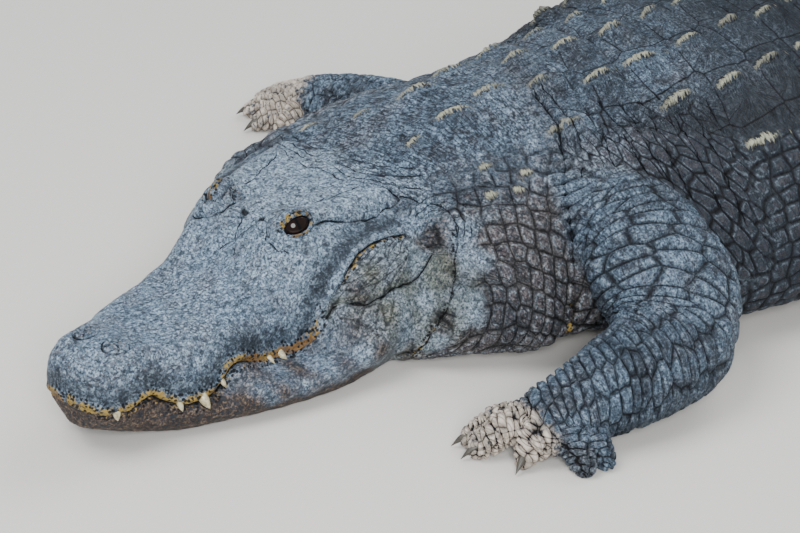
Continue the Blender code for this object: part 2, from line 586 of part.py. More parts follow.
def head_forms(head, jaw, collection):
    """Lids, nostrils, ear slits and teeth, on both sides of the head."""
    sides = (1.0, -1.0)
    back, left, up = NOSTRIL_PLACE
    added = [lid_ring(side, collection) for side in sides]
    added += [ball("rim", on_head(back, side * left, up), NOSTRIL_RIM, HIDE_HEAD, collection, 8, 6)
              for side in sides]
    added += [tooth(place, side, 0.0, collection) for place in TEETH_BACK for side in sides]
    apply_boolean(head, "UNION", added)
    pits = [ball("pit", on_head(back, side * left, up + NOSTRIL_PIT_RISE), NOSTRIL_PIT, HIDE_HEAD, collection, 6, 4)
            for side in sides]
    for side in sides:
        corners = [on_head(place, side * (curve(BROW_OUT, place) + deep), curve(BROW_UP, place) + gap)
                   for place in EAR_BACK for deep in EAR_DEPTH for gap in EAR_GAP]
        pits.append(hull("slit", corners, HIDE_HEAD, collection))
        pits.append(ball("socket", eye_middle(side), (SOCKET_RADIUS,) * 3, EYEBALL, collection))
    apply_boolean(head, "DIFFERENCE", pits)
    pockets = [tooth(place, side, JOINT_GAP, collection) for place in TEETH_BACK for side in sides]
    apply_boolean(jaw, "DIFFERENCE", pockets)


def back_frame(place, side):
    """A point on the back at a distance to the left, with the ways along, across and out."""
    half = curve(BODY_HALF, place) * (curve(RIGHT_SHARE, place) if side < 0.0 else 1.0)
    sine = min(abs(side) / half, 1.0) ** (curve(UPPER_POWER, place) / 2.0)
    turn = math.copysign(math.asin(sine), side)
    along = body_points(place + NUDGE, turn) - body_points(place - NUDGE, turn)
    across = body_points(place, turn + NUDGE) - body_points(place, turn - NUDGE)
    along /= np.linalg.norm(along)
    out = np.cross(across, along)
    out /= np.linalg.norm(out)
    return body_points(place, turn), along, np.cross(along, out), out


def scute(place, side, half_long, half_wide, height, reach, collection):
    """A plate raised on the back, with a keel along it that reaches between two shares of its length."""
    middle, along, across, out = back_frame(place, side)
    root = min(SCUTE_ROOT, 0.3 * curve(BODY_TOP, place))
    rim = min(SCUTE_RIM, 0.3 * height)
    corners = [middle + along * a * half_long + across * b * half_wide - out * root
               for a in (-1.0, 1.0) for b in (-1.0, 1.0)]
    corners += [middle + along * a * half_long * 0.94 + across * b * half_wide * 0.9 + out * rim
                for a in (-1.0, 1.0) for b in (-1.0, 1.0)]
    corners += [middle + along * share * half_long + out * height for share in reach]
    return hull("scute", corners, HIDE_BODY, collection)


def rows_between(start, end):
    """Evenly spaced rows of scutes that stay clear of both ends, with half their length."""
    count = round((end - start) / float(curve(ROW_PITCH, (start + end) / 2.0)))
    pitch = (end - start) / count
    return [(start + (k + 0.5) * pitch, ROW_SHARE * pitch) for k in range(count)]


def scutes_between(start, end, draw, collection):
    """The scutes of the trunk or tail from start to end, varied as the real ones are."""
    made = []
    for place, half_long in rows_between(start, end):
        middle, pitch = float(curve(MIDLINE, place)), float(curve(COLUMN_PITCH, place))
        if place < KEELS_END:
            columns = COLUMNS if place < TORSO_END else COLUMNS[2:4]
            limit = curve(COLUMN_LIMIT, place) * curve(BODY_HALF, place)
            sides = [middle + column * pitch for column in columns if abs(middle + column * pitch) < limit]
            for side in sides:
                high = SCUTE_KEEL * (1.0 + draw.uniform(-VARIATION, VARIATION))
                shift = draw.uniform(-SCUTE_STRAY, SCUTE_STRAY)
                made.append(scute(place, side + shift, half_long, COLUMN_SHARE * pitch, high, KEEL_REACH, collection))
        if place > TORSO_END:
            high = float(curve(CREST_HEIGHT, place)) * (1.0 + draw.uniform(-VARIATION, VARIATION))
            spot = float(curve(CREST_SIDE, place))
            wide = min(CREST_HALF, 0.45 * float(curve(BODY_HALF, place)))
            for side in (spot, -spot) if place < TAIL_CUTS[1] else (0.0,):
                made.append(scute(place, side, half_long, wide, high, CREST_REACH, collection))
    return made


def body_scutes(nodes, collection):
    """Fuse the scutes onto each length of the body."""
    draw = random.Random(SEED)
    for name, start, end, *_ in SPANS:
        if name == "neck":
            plates = [scute(place, side, half, 0.95 * half, high, KEEL_REACH, collection)
                      for place, side, half, high in NUCHALS]
        else:
            plates = scutes_between(start, end, draw, collection)
        apply_boolean(nodes[name], "UNION", plates)


def tube_rings(path, count, around=LIMB_AROUND, grow=0.0, dome=DOME_ANGLES):
    """Rings round a limb or digit through (x, y, z, half width, half height), with domed ends."""
    line = spread(path, count)
    steps = np.gradient(line[:, :3], axis=0)
    steps /= np.linalg.norm(steps, axis=1)[:, None]
    stations = []
    for angle in dome:
        shift = -steps[0] * math.sin(angle) * line[0, 3]
        stations.append((line[0, :3] + shift, steps[0], line[0, 3:] * math.cos(angle)))
    stations += [(spot[:3], step, spot[3:]) for spot, step in zip(line, steps)]
    for angle in dome[::-1]:
        shift = steps[-1] * math.sin(angle) * line[-1, 3]
        stations.append((line[-1, :3] + shift, steps[-1], line[-1, 3:] * math.cos(angle)))
    turns = np.linspace(0.0, 2.0 * math.pi, around, endpoint=False)
    rings = []
    for middle, along, half in stations:
        across = np.cross(along, (0.0, 0.0, 1.0))
        across /= np.linalg.norm(across)
        upward = np.cross(across, along)
        ring = (middle + np.outer(np.cos(turns), across) * (half[0] + grow)
                + np.outer(np.sin(turns), upward) * (half[1] + grow))
        ring[:, 2] = np.maximum(ring[:, 2], -20.0 * grow)
        rings.append(ring)
    return rings


def digit_path(root, knuckle, tip):
    """The middle line and thickness of one digit."""
    low = np.array(tip) * 0.45 + np.array(knuckle) * 0.55
    return ((*root, DIGIT_THICK, DIGIT_THICK), (*knuckle, DIGIT_THICK, DIGIT_THICK),
            (*low, 0.9 * DIGIT_THICK, 0.9 * DIGIT_THICK), (*tip, DIGIT_TIP, DIGIT_TIP))


def extremity(name, wrist, digits, half_size, near, collection):
    """A hand or foot: the palm with its digits fused on, cut clear of the limb before it."""
    middle = np.mean([digit[1] for digit in digits], 0)
    wrist = np.array(wrist)
    half_way = (*(0.5 * wrist[:3] + 0.5 * middle), *half_size)
    palm = loft(name, tube_rings((wrist * WRIST_SHARE, half_way, (*middle, 0.8 * half_size[0], half_size[1] * 0.8)),
                                 5), HIDE_LIMB, collection)
    pieces = [loft("digit", tube_rings(digit_path(*digit), 5, DIGIT_AROUND, dome=DIGIT_DOME), HIDE_LIMB, collection)
              for digit in digits]
    for _, knuckle, end in digits[:CLAWED]:
        ahead = np.array(end) - np.array(knuckle)
        reach = np.array(end) + ahead * CLAW_LONG / np.linalg.norm(ahead[:2])
        pieces.append(spike("claw", end, (*reach[:2], CLAW_TIP_UP), CLAW_HALF, 5, HIDE_LIMB, collection))
    if half_size == SOLE_HALF:
        spots = [spot for _, knuckle, end in digits for spot in (knuckle, (np.array(knuckle) + end) / 2.0)]
        web = [(spot[0], spot[1], up) for spot in spots for up in WEB_UP]
        pieces.append(hull("web", web, HIDE_LIMB, collection))
    apply_boolean(palm, "UNION", pieces)
    apply_boolean(palm, "DIFFERENCE", [loft("cutter", rings, HIDE_LIMB, collection) for rings in near])
    return palm


def limb(names, path, digits, half_size, trunk, collection):
    """A whole limb in three nodes, each cut clear of what it grows from."""
    joint = len(path) // 2
    upper_path, lower_path = path[:joint], path[joint - 1:]
    upper = loft(names[0], tube_rings(upper_path, 6), HIDE_LIMB, collection)
    apply_boolean(upper, "DIFFERENCE", [loft("cutter", rings, HIDE_LIMB, collection) for rings in trunk])
    upper_cut = tube_rings(upper_path, 6, grow=JOINT_GAP)
    lower = loft(names[1], tube_rings(lower_path, 6), HIDE_LIMB, collection)
    cutters = [loft("cutter", rings, HIDE_LIMB, collection) for rings in (*trunk, upper_cut)]
    apply_boolean(lower, "DIFFERENCE", cutters)
    lower_cut = tube_rings(lower_path, 6, grow=JOINT_GAP)
    extremity(names[2], path[-1], digits, half_size, (*trunk, upper_cut, lower_cut), collection)


def centre_on_floor(collection):
    """Put the middle of the model's box over the origin, at floor level."""
    corners = np.array([vert.co for thing in collection.objects for vert in thing.data.vertices])
    low, high = corners.min(0), corners.max(0)
    shift = Matrix.Translation((-(low[0] + high[0]) / 2.0, -(low[1] + high[1]) / 2.0, 0.0))
    for thing in collection.objects:
        thing.data.transform(shift)
        thing.data.shade_smooth()
        thing.data.set_sharp_from_angle(angle=math.radians(50.0))


def main():
    """Build the whole animal."""
    clear_scene()
    alligator = bpy.data.collections.new("american_alligator")
    bpy.context.scene.collection.children.link(alligator)
    head_forms(upper_head(alligator), lower_jaw(alligator), alligator)
    for name, side in (("eye_L", 1.0), ("eye_R", -1.0)):
        ball(name, eye_middle(side), (EYE_RADIUS,) * 3, EYEBALL, alligator)
    body_scutes(neck_and_trunk(alligator), alligator)
    front = (trunk_cutter(0, 1),)
    rear = (trunk_cutter(2, 2), trunk_cutter(3, 3))
    limb(("upper_arm_L", "forearm_L", "hand_L"), LEFT_ARM, LEFT_HAND, PALM_HALF, front, alligator)
    limb(("upper_arm_R", "forearm_R", "hand_R"), RIGHT_ARM, RIGHT_HAND, PALM_HALF, front, alligator)
    limb(("thigh_L", "shin_L", "foot_L"), LEFT_LEG, LEFT_FOOT, SOLE_HALF, rear, alligator)
    limb(("thigh_R", "shin_R", "foot_R"), RIGHT_LEG, RIGHT_FOOT, SOLE_HALF, rear, alligator)
    centre_on_floor(alligator)


main()
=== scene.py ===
"""Dresses the solids of a resting American alligator as a still, life-size model.

The hide is one skin, made from the same sizes as the solids, with its folds, scales and keels
as real relief. Eyes, teeth, claws and the crest of the tail are pieces of their own.
Places along the animal are distances behind the tip of the snout, and places on the head are
back, left and up from that tip, both in metres.
"""

import json
import math
import random

import bmesh
import bpy
import numpy as np
from bpy.props import FloatProperty, FloatVectorProperty, PointerProperty
from bpy.types import Operator, Panel, PropertyGroup
from mathutils import Matrix, Vector
from mathutils.kdtree import KDTree

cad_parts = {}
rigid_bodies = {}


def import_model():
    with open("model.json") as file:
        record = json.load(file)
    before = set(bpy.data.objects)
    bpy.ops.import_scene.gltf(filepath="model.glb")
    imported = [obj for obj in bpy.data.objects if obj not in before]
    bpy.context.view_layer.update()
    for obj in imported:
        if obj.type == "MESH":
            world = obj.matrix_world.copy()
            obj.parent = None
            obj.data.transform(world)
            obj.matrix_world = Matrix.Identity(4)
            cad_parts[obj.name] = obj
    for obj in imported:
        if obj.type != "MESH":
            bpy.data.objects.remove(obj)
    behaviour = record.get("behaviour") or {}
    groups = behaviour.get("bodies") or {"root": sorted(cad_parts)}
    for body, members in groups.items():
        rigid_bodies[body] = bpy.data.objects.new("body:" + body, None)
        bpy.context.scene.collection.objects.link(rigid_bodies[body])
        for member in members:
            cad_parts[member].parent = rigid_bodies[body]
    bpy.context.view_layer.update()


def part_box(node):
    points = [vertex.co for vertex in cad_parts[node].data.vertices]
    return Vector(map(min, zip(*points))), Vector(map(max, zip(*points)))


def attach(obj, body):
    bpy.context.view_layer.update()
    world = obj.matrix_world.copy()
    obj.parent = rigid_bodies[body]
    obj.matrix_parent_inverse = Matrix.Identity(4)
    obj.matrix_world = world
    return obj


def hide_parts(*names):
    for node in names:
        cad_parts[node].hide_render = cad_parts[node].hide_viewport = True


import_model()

bl_info = {
    "name": "American Alligator",
    "version": (1, 0, 0),
    "blender": (4, 5, 0),
    "location": "3D View > Sidebar > Alligator",
    "description": "Builds the hide, eyes, teeth, claws and tail crest of a resting alligator",
    "category": "Add Mesh",
}

# The same driving sizes as the solids
LENGTH = 3.5
BELLY_PRESS = 0.012
SPINE_STEP = 0.005
HEADING = ((0.0, 15.5), (0.43, 15.5), (0.49, -14.0), (0.55, -19.0), (0.7, -16.0), (0.85, -6.0),
           (1.0, 0.0), (1.7, 0.0), (2.2, 9.0), (2.8, 24.0), (LENGTH, 30.0))
SECTION_TURN = ((0.0, 15.5), (0.34, 15.5), (0.7, -14.0), (0.86, -7.0), (1.0, 0.0), (1.7, 0.0), (2.2, 9.0),
                (2.8, 24.0), (LENGTH, 30.0))
BODY_HALF = ((0.3, 0.15), (0.36, 0.192), (0.42, 0.242), (0.5, 0.272), (0.58, 0.268), (0.66, 0.244),
             (0.74, 0.255), (0.86, 0.295), (1.05, 0.308), (1.25, 0.3), (1.42, 0.268), (1.56, 0.214),
             (1.7, 0.162), (1.9, 0.128), (2.2, 0.092), (2.6, 0.056), (3.0, 0.03), (3.3, 0.015),
             (LENGTH, 0.004))
RIGHT_SHARE = ((0.3, 0.62), (0.42, 0.68), (0.5, 0.76), (0.6, 0.9), (0.72, 1.0), (LENGTH, 1.0))
BODY_TOP = ((0.3, 0.14), (0.42, 0.16), (0.48, 0.178), (0.56, 0.218), (0.66, 0.248), (0.8, 0.278),
            (0.95, 0.296), (1.15, 0.305), (1.35, 0.296), (1.55, 0.265), (1.7, 0.238), (1.9, 0.208),
            (2.2, 0.172), (2.6, 0.13), (3.0, 0.088), (3.3, 0.052), (LENGTH, 0.018))
BODY_WIDE = ((0.3, 0.05), (0.45, 0.058), (0.6, 0.066), (0.8, 0.076), (1.2, 0.086), (1.55, 0.09),
             (1.9, 0.084), (2.6, 0.052), (3.0, 0.036), (LENGTH, 0.007))
UPPER_POWER = ((0.3, 2.3), (0.46, 2.15), (0.56, 1.8), (0.66, 1.65), (0.8, 1.8), (1.3, 2.0), (1.7, 1.9),
               (2.2, 1.8), (LENGTH, 1.7))
LOWER_POWER = ((0.3, 2.6), (1.3, 2.7), (1.7, 2.5), (LENGTH, 2.2))
NECK_START = 0.31
NECK_END = 0.672
TORSO_END = 1.7
HEAD_CUT_FLOOR = 0.355
HEAD_CUT_TOP = 0.462
HEAD_CUT_HEIGHT = 0.172

CROWN_UP = ((0, 0.088), (0.006, 0.102), (0.02, 0.114), (0.05, 0.121), (0.08, 0.116), (0.12, 0.109),
            (0.17, 0.108), (0.22, 0.116), (0.26, 0.133), (0.29, 0.152), (0.32, 0.161), (0.36, 0.168),
            (0.42, 0.173), (0.5, 0.174))
RIDGE_OUT = ((0.0, 0.01), (0.006, 0.022), (0.02, 0.034), (0.05, 0.04), (0.08, 0.044), (0.12, 0.054),
             (0.17, 0.06), (0.22, 0.058), (0.26, 0.052), (0.29, 0.05), (0.32, 0.052), (0.35, 0.062),
             (0.42, 0.076), (0.5, 0.084))
RIDGE_UP = ((0, 0.085), (0.006, 0.097), (0.02, 0.108), (0.05, 0.114), (0.08, 0.11), (0.12, 0.104),
            (0.17, 0.103), (0.22, 0.111), (0.26, 0.134), (0.29, 0.166), (0.32, 0.178), (0.35, 0.173),
            (0.42, 0.171), (0.5, 0.169))
BROW_OUT = ((0.0, 0.013), (0.006, 0.028), (0.02, 0.042), (0.05, 0.049), (0.08, 0.053), (0.12, 0.069),
            (0.17, 0.075), (0.22, 0.077), (0.26, 0.078), (0.29, 0.077), (0.32, 0.078), (0.35, 0.08),
            (0.42, 0.092), (0.5, 0.108))
BROW_UP = ((0, 0.08), (0.006, 0.086), (0.02, 0.092), (0.05, 0.097), (0.08, 0.094), (0.12, 0.09),
           (0.17, 0.09), (0.22, 0.096), (0.26, 0.11), (0.29, 0.14), (0.32, 0.157), (0.35, 0.156),
           (0.42, 0.154), (0.5, 0.152))
CHEEK_OUT = ((0.0, 0.014), (0.006, 0.031), (0.02, 0.044), (0.05, 0.053), (0.08, 0.061), (0.12, 0.079),
             (0.17, 0.083), (0.22, 0.086), (0.26, 0.09), (0.29, 0.094), (0.32, 0.097), (0.36, 0.101),
             (0.42, 0.112), (0.5, 0.126))
CHEEK_UP = ((0.0, 0.074), (0.02, 0.074), (0.05, 0.077), (0.08, 0.075), (0.12, 0.068), (0.17, 0.076),
            (0.22, 0.074), (0.26, 0.078), (0.29, 0.098), (0.32, 0.124), (0.36, 0.143), (0.42, 0.144),
            (0.5, 0.125))
LIP_OUT = ((0.0, 0.012), (0.004, 0.024), (0.01, 0.034), (0.03, 0.047), (0.05, 0.054), (0.07, 0.056),
           (0.09, 0.068), (0.11, 0.08), (0.14, 0.084), (0.18, 0.085), (0.22, 0.087), (0.26, 0.094),
           (0.3, 0.103), (0.33, 0.109), (0.36, 0.115), (0.42, 0.126), (0.5, 0.138))
LIP_UP = ((0.0, 0.068), (0.01, 0.06), (0.023, 0.055), (0.045, 0.055), (0.07, 0.06), (0.08, 0.053),
          (0.096, 0.044), (0.112, 0.04), (0.134, 0.04), (0.152, 0.045), (0.175, 0.061), (0.207, 0.051),
          (0.239, 0.042), (0.268, 0.04), (0.289, 0.045), (0.303, 0.058), (0.314, 0.084), (0.333, 0.106),
          (0.35, 0.121), (0.366, 0.132), (0.39, 0.136), (0.42, 0.132), (0.45, 0.12), (0.5, 0.092))
LIP_DEPTH = 0.006
JAW_OUT = ((0.0, 0.006), (0.012, 0.02), (0.03, 0.038), (0.06, 0.052), (0.09, 0.07), (0.12, 0.09),
           (0.16, 0.114), (0.2, 0.136), (0.25, 0.158), (0.29, 0.17), (0.33, 0.18), (0.37, 0.18),
           (0.43, 0.17), (0.5, 0.16))
JAW_UP = ((0.0, 0.044), (0.05, 0.032), (0.1, 0.026), (0.2, 0.03), (0.3, 0.044), (0.37, 0.054), (0.5, 0.062))
JAW_FLOOR = ((0.0, 0.004), (0.012, 0.01), (0.03, 0.024), (0.06, 0.038), (0.09, 0.054), (0.12, 0.072),
             (0.16, 0.094), (0.2, 0.116), (0.25, 0.138), (0.29, 0.15), (0.37, 0.156), (0.5, 0.14))
CHIN_LIFT = ((0.0, 0.034), (0.03, 0.024), (0.07, 0.01), (0.12, 0.0), (0.5, 0.0))
JAW_RIGHT = 0.4
EYE_FACE = (0.31, 0.066, 0.172)
EYE_LOOK = (-0.42, 0.76, 0.5)
EYE_RADIUS = 0.015
BALL_RADIUS = 0.0205
OPENING = (0.0172, 0.009)
LID_OUTER = (0.0245, 0.0195)
LID_BULGE = (0.0068, 0.0048)
LID_ROOT = -0.0105
LID_SKIRT = 0.006
LID_TURNS = 97
LID_POINTS = 15
LID_CREASES = ((0.5, 0.9), (0.76, 0.6))
EYE_SEGMENTS = (48, 32)

LEFT_ARM = ((0.69, -0.07, 0.12, 0.066, 0.07), (0.668, -0.14, 0.128, 0.074, 0.072),
            (0.652, -0.215, 0.112, 0.078, 0.07), (0.63, -0.272, 0.074, 0.068, 0.064),
            (0.582, -0.294, 0.06, 0.06, 0.056), (0.53, -0.298, 0.053, 0.054, 0.05),
            (0.478, -0.293, 0.043, 0.044, 0.04), (0.445, -0.286, 0.034, 0.04, 0.032))
RIGHT_ARM = ((0.69, 0.11, 0.12, 0.066, 0.07), (0.704, 0.185, 0.108, 0.066, 0.066),
             (0.72, 0.25, 0.082, 0.06, 0.058), (0.724, 0.305, 0.062, 0.055, 0.052),
             (0.722, 0.36, 0.054, 0.05, 0.048), (0.714, 0.415, 0.047, 0.046, 0.043),
             (0.702, 0.468, 0.039, 0.041, 0.036), (0.693, 0.5, 0.033, 0.039, 0.031))
LEFT_LEG = ((1.62, -0.06, 0.13, 0.09, 0.085), (1.555, -0.19, 0.125, 0.09, 0.08),
            (1.48, -0.275, 0.1, 0.078, 0.07), (1.425, -0.325, 0.068, 0.064, 0.06),
            (1.475, -0.362, 0.06, 0.058, 0.056), (1.545, -0.392, 0.05, 0.052, 0.048),
            (1.61, -0.415, 0.042, 0.044, 0.04), (1.645, -0.432, 0.036, 0.04, 0.034))
RIGHT_LEG = ((1.62, 0.085, 0.13, 0.09, 0.085), (1.56, 0.215, 0.125, 0.09, 0.08),
             (1.49, 0.3, 0.1, 0.078, 0.07), (1.44, 0.352, 0.068, 0.064, 0.06),
             (1.495, 0.385, 0.06, 0.058, 0.056), (1.565, 0.412, 0.05, 0.052, 0.048),
             (1.63, 0.438, 0.042, 0.044, 0.04), (1.662, 0.458, 0.036, 0.04, 0.034))
LEFT_HAND = (((0.425, -0.27, 0.028), (0.395, -0.252, 0.028), (0.362, -0.238, 0.01)),
             ((0.423, -0.278, 0.028), (0.39, -0.268, 0.029), (0.356, -0.26, 0.01)),
             ((0.427, -0.288, 0.028), (0.408, -0.294, 0.029), (0.384, -0.304, 0.01)),
             ((0.438, -0.298, 0.028), (0.434, -0.32, 0.028), (0.428, -0.352, 0.008)),
             ((0.45, -0.3, 0.028), (0.456, -0.325, 0.026), (0.456, -0.356, 0.008)))
RIGHT_HAND = (((0.684, 0.504, 0.027), (0.66, 0.494, 0.027), (0.624, 0.486, 0.01)),
              ((0.682, 0.51, 0.027), (0.654, 0.514, 0.028), (0.612, 0.524, 0.01)),
              ((0.684, 0.516, 0.027), (0.66, 0.534, 0.028), (0.628, 0.564, 0.01)),
              ((0.69, 0.52, 0.027), (0.68, 0.548, 0.027), (0.664, 0.588, 0.008)),
              ((0.698, 0.52, 0.027), (0.7, 0.548, 0.026), (0.704, 0.586, 0.008)))
LEFT_FOOT = (((1.635, -0.442, 0.028), (1.59, -0.456, 0.026), (1.53, -0.47, 0.01)),
             ((1.64, -0.45, 0.028), (1.59, -0.476, 0.027), (1.52, -0.508, 0.01)),
             ((1.646, -0.456, 0.028), (1.606, -0.496, 0.027), (1.545, -0.552, 0.01)),
             ((1.654, -0.46, 0.028), (1.634, -0.508, 0.026), (1.6, -0.572, 0.008)))
RIGHT_FOOT = (((1.652, 0.466, 0.028), (1.608, 0.478, 0.026), (1.548, 0.49, 0.01)),
              ((1.656, 0.474, 0.028), (1.606, 0.498, 0.027), (1.538, 0.528, 0.01)),
              ((1.662, 0.48, 0.028), (1.622, 0.52, 0.027), (1.562, 0.574, 0.01)),
              ((1.67, 0.484, 0.028), (1.65, 0.532, 0.026), (1.618, 0.596, 0.008)))
DOME_ANGLES = (math.radians(76.0), math.radians(58.0), math.radians(38.0), math.radians(18.0))
DIGIT_THICK = 0.0125
DIGIT_TIP = 0.0075
PALM_HALF = (0.04, 0.026)
SOLE_HALF = (0.04, 0.028)
WRIST_SHARE = (1.0, 1.0, 1.0, 0.9, 0.9)
WEB_UP = (0.006, 0.015)
CLAWED = 3
PLUMP = (1.0, 1.0, 1.0, 1.16, 1.16)
LIMBS = (("arm_L", LEFT_ARM, LEFT_HAND, PALM_HALF), ("arm_R", RIGHT_ARM, RIGHT_HAND, PALM_HALF),
         ("leg_L", LEFT_LEG, LEFT_FOOT, SOLE_HALF), ("leg_R", RIGHT_LEG, RIGHT_FOOT, SOLE_HALF))

ROW_PITCH = ((NECK_END, 0.058), (0.9, 0.06), (1.3, 0.066), (1.8, 0.06), (2.6, 0.054), (LENGTH, 0.052))
MIDLINE = ((NECK_END, -0.005), (0.8, 0.026), (1.05, 0.026), (1.3, 0.0), (LENGTH, 0.0))
COLUMN_PITCH = ((NECK_END, 0.06), (0.8, 0.074), (1.2, 0.072), (1.45, 0.062), (TORSO_END, 0.05),
                (2.05, 0.034))
SPANS = ((NECK_END, 1.15), (1.15, TORSO_END), (TORSO_END, 2.18), (2.18, 2.72), (2.72, LENGTH))
COLUMNS = (-2.5, -1.5, -0.5, 0.5, 1.5, 2.5)
COLUMN_LIMIT = ((NECK_END, 0.46), (0.76, 0.46), (0.84, 0.72), (1.28, 0.72), (1.38, 0.6), (TORSO_END, 0.6))
KEELS_END = 2.02
CREST_START = 1.7
CREST_SPLIT_END = 2.72
CREST_SIDE = ((TORSO_END, 0.078), (2.0, 0.05), (2.4, 0.026), (CREST_SPLIT_END, 0.011))
CREST_HEIGHT = ((TORSO_END, 0.013), (2.0, 0.02), (2.4, 0.03), (2.8, 0.036), (3.2, 0.026), (LENGTH, 0.006))
NUCHALS = ((0.583, -0.04, 0.024, 0.015), (0.59, 0.034, 0.024, 0.015), (0.637, -0.066, 0.023, 0.015),
           (0.645, 0.02, 0.023, 0.015), (0.576, 0.124, 0.011, 0.007), (0.56, 0.161, 0.011, 0.007),
           (0.604, 0.161, 0.011, 0.007), (0.628, 0.142, 0.011, 0.007), (0.53, -0.056, 0.011, 0.007),
           (0.494, -0.095, 0.011, 0.007), (0.532, 0.043, 0.011, 0.007))
TEETH = ((0.03, 1.0), (0.098, 0.8), (0.125, 1.25), (0.155, 0.7), (0.228, 0.85), (0.245, 1.1))

# How far the head reaches to its sides, and where the folds laid on the skin end
HEAD_REACH = 0.24
SURFACE_END = 0.86
FOLD_REACH = 0.016
FOLD_SOFT = 0.0024
FOLD_FADE = 0.006

# How finely the hide is made: rings and sides of its rough volumes, and the even skin round them
BODY_PITCH = 0.012
BODY_SIDES = 72
LIMB_RINGS = (40, 32)
PALM_RINGS = (10, 24)
DIGIT_RINGS = (14, 14)
HEAD_RING_PITCH = 0.006
HEAD_SIDE_POINTS = 24
JAW_SIDE_POINTS = 16
VOXEL = 0.005
SMOOTHING = 5

# The camera: aim, way and distance at the photo's view
CAMERA_AIM = (0.407, -0.0515, 0.122)
CAMERA_AZIMUTH = -129.03
CAMERA_ELEVATION = 29.91
CAMERA_ROLL = 2.04
CAMERA_DISTANCE = 2.5115
CAMERA_LENS = 100.0
CAMERA_SENSOR = 36.0
CAMERA_FAR = 60.0


def curve(points, at):
    """Value of a smooth curve through (place, value) points that never overshoots them."""
    place, value = np.array(points, float).T
    step = np.diff(place)
    rise = np.diff(value) / step
    slope = np.concatenate((rise[:1], np.zeros(len(rise) - 1), rise[-1:]))
    same = rise[:-1] * rise[1:] > 0.0
    slope[1:-1][same] = 2.0 * (rise[:-1] * rise[1:])[same] / (rise[:-1] + rise[1:])[same]
    at = np.clip(np.asarray(at, float), place[0], place[-1])
    cell = np.clip(np.searchsorted(place, at, side="right") - 1, 0, len(step) - 1)
    share = (at - place[cell]) / step[cell]
    left = value[cell] + share * step[cell] * slope[cell]
    right = value[cell + 1] - (1.0 - share) * step[cell] * slope[cell + 1]
    blend = share * share * (3.0 - 2.0 * share)
    return left + (right - left) * blend


def reach_along(points):
    """How far each point of a line is from its first one, along the line."""
    return np.concatenate(([0.0], np.cumsum(np.linalg.norm(np.diff(points, axis=0), axis=1))))


def unit_rows(vectors):
    """Vectors of length one, a row each, along the same ways."""
    return vectors / np.linalg.norm(vectors, axis=1)[:, None]


def spread(points, count):
    """A smooth line through points, as count places evenly along it."""
    points = np.array(points, float)
    reach = reach_along(points)
    at = np.linspace(0.0, reach[-1], count)
    return np.stack([curve(np.stack((reach, part), 1), at) for part in points.T], 1)


def step_up(low, high, value):
    """A smooth step from 0 at low to 1 at high."""
    share = np.clip((value - low) / (high - low), 0.0, 1.0)
    return share * share * (3.0 - 2.0 * share)


def step_down(low, high, value):
    """A smooth step from 1 at low to 0 at high."""
    return 1.0 - step_up(low, high, value)


def bell(value, width, middle=0.0):
    """1 where a value is at the middle, fading to nearly 0 two widths away."""
    return np.exp(-((value - middle) / width) ** 2)


def spine_line():
    """The spine's places, and its X and Y, along the whole animal."""
    place = np.arange(0.0, LENGTH + SPINE_STEP, SPINE_STEP)
    turn = np.radians(curve(HEADING, place))
    middle = (turn[1:] + turn[:-1]) / 2.0
    x = np.concatenate(([0.0], np.cumsum(np.cos(middle)) * SPINE_STEP))
    y = np.concatenate(([0.0], np.cumsum(np.sin(middle)) * SPINE_STEP))
    return place, x, y


SPINE = spine_line()


def on_head(back, left, up):
    """Points on the head: back, left and up from the tip of the snout."""
    back, left, up = np.broadcast_arrays(np.asarray(back, float), left, up)
    turn = math.radians(HEADING[0][1])
    return np.stack((back * math.cos(turn) + left * math.sin(turn),
                     back * math.sin(turn) - left * math.cos(turn), up), -1)


def eye_middle(side):
    """The middle of an eyeball; side is 1 on the left and -1 on the right."""
    look = np.array(EYE_LOOK) / np.linalg.norm(EYE_LOOK)
    back, left, up = np.array(EYE_FACE) - look * EYE_RADIUS
    return on_head(back, side * left, up)


# The frame's origin is under the middle of the whole model, and the sizes are from the snout's tip
TIP = (np.array(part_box("eye_L")[0]) + np.array(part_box("eye_L")[1])) / 2.0 - eye_middle(1.0)
TIP[2] = 0.0


def body_points(place, turn, grow=0.0):
    """Points on the body at distances behind the snout; turn 0 is the back, 90 the left flank."""
    place, turn = np.broadcast_arrays(np.asarray(place, float), turn)
    half = curve(BODY_HALF, place) + grow
    top = curve(BODY_TOP, place) + grow
    wide = curve(BODY_WIDE, place)
    sine, cosine = np.sin(turn), np.cos(turn)
    above = cosine >= 0.0
    power = np.where(above, 2.0 / curve(UPPER_POWER, place), 2.0 / curve(LOWER_POWER, place))
    half = np.where(sine < 0.0, half * curve(RIGHT_SHARE, place), half)
    left = half * np.sign(sine) * np.abs(sine) ** power
    reach = np.where(above, top - wide, wide + BELLY_PRESS)
    up = np.maximum(wide + np.sign(cosine) * reach * np.abs(cosine) ** power, 0.0)
    x, y = (np.interp(place, SPINE[0], part) for part in SPINE[1:])
    lean = np.radians(curve(SECTION_TURN, place))
    return np.stack((x + left * np.sin(lean), y - left * np.cos(lean), up), -1)


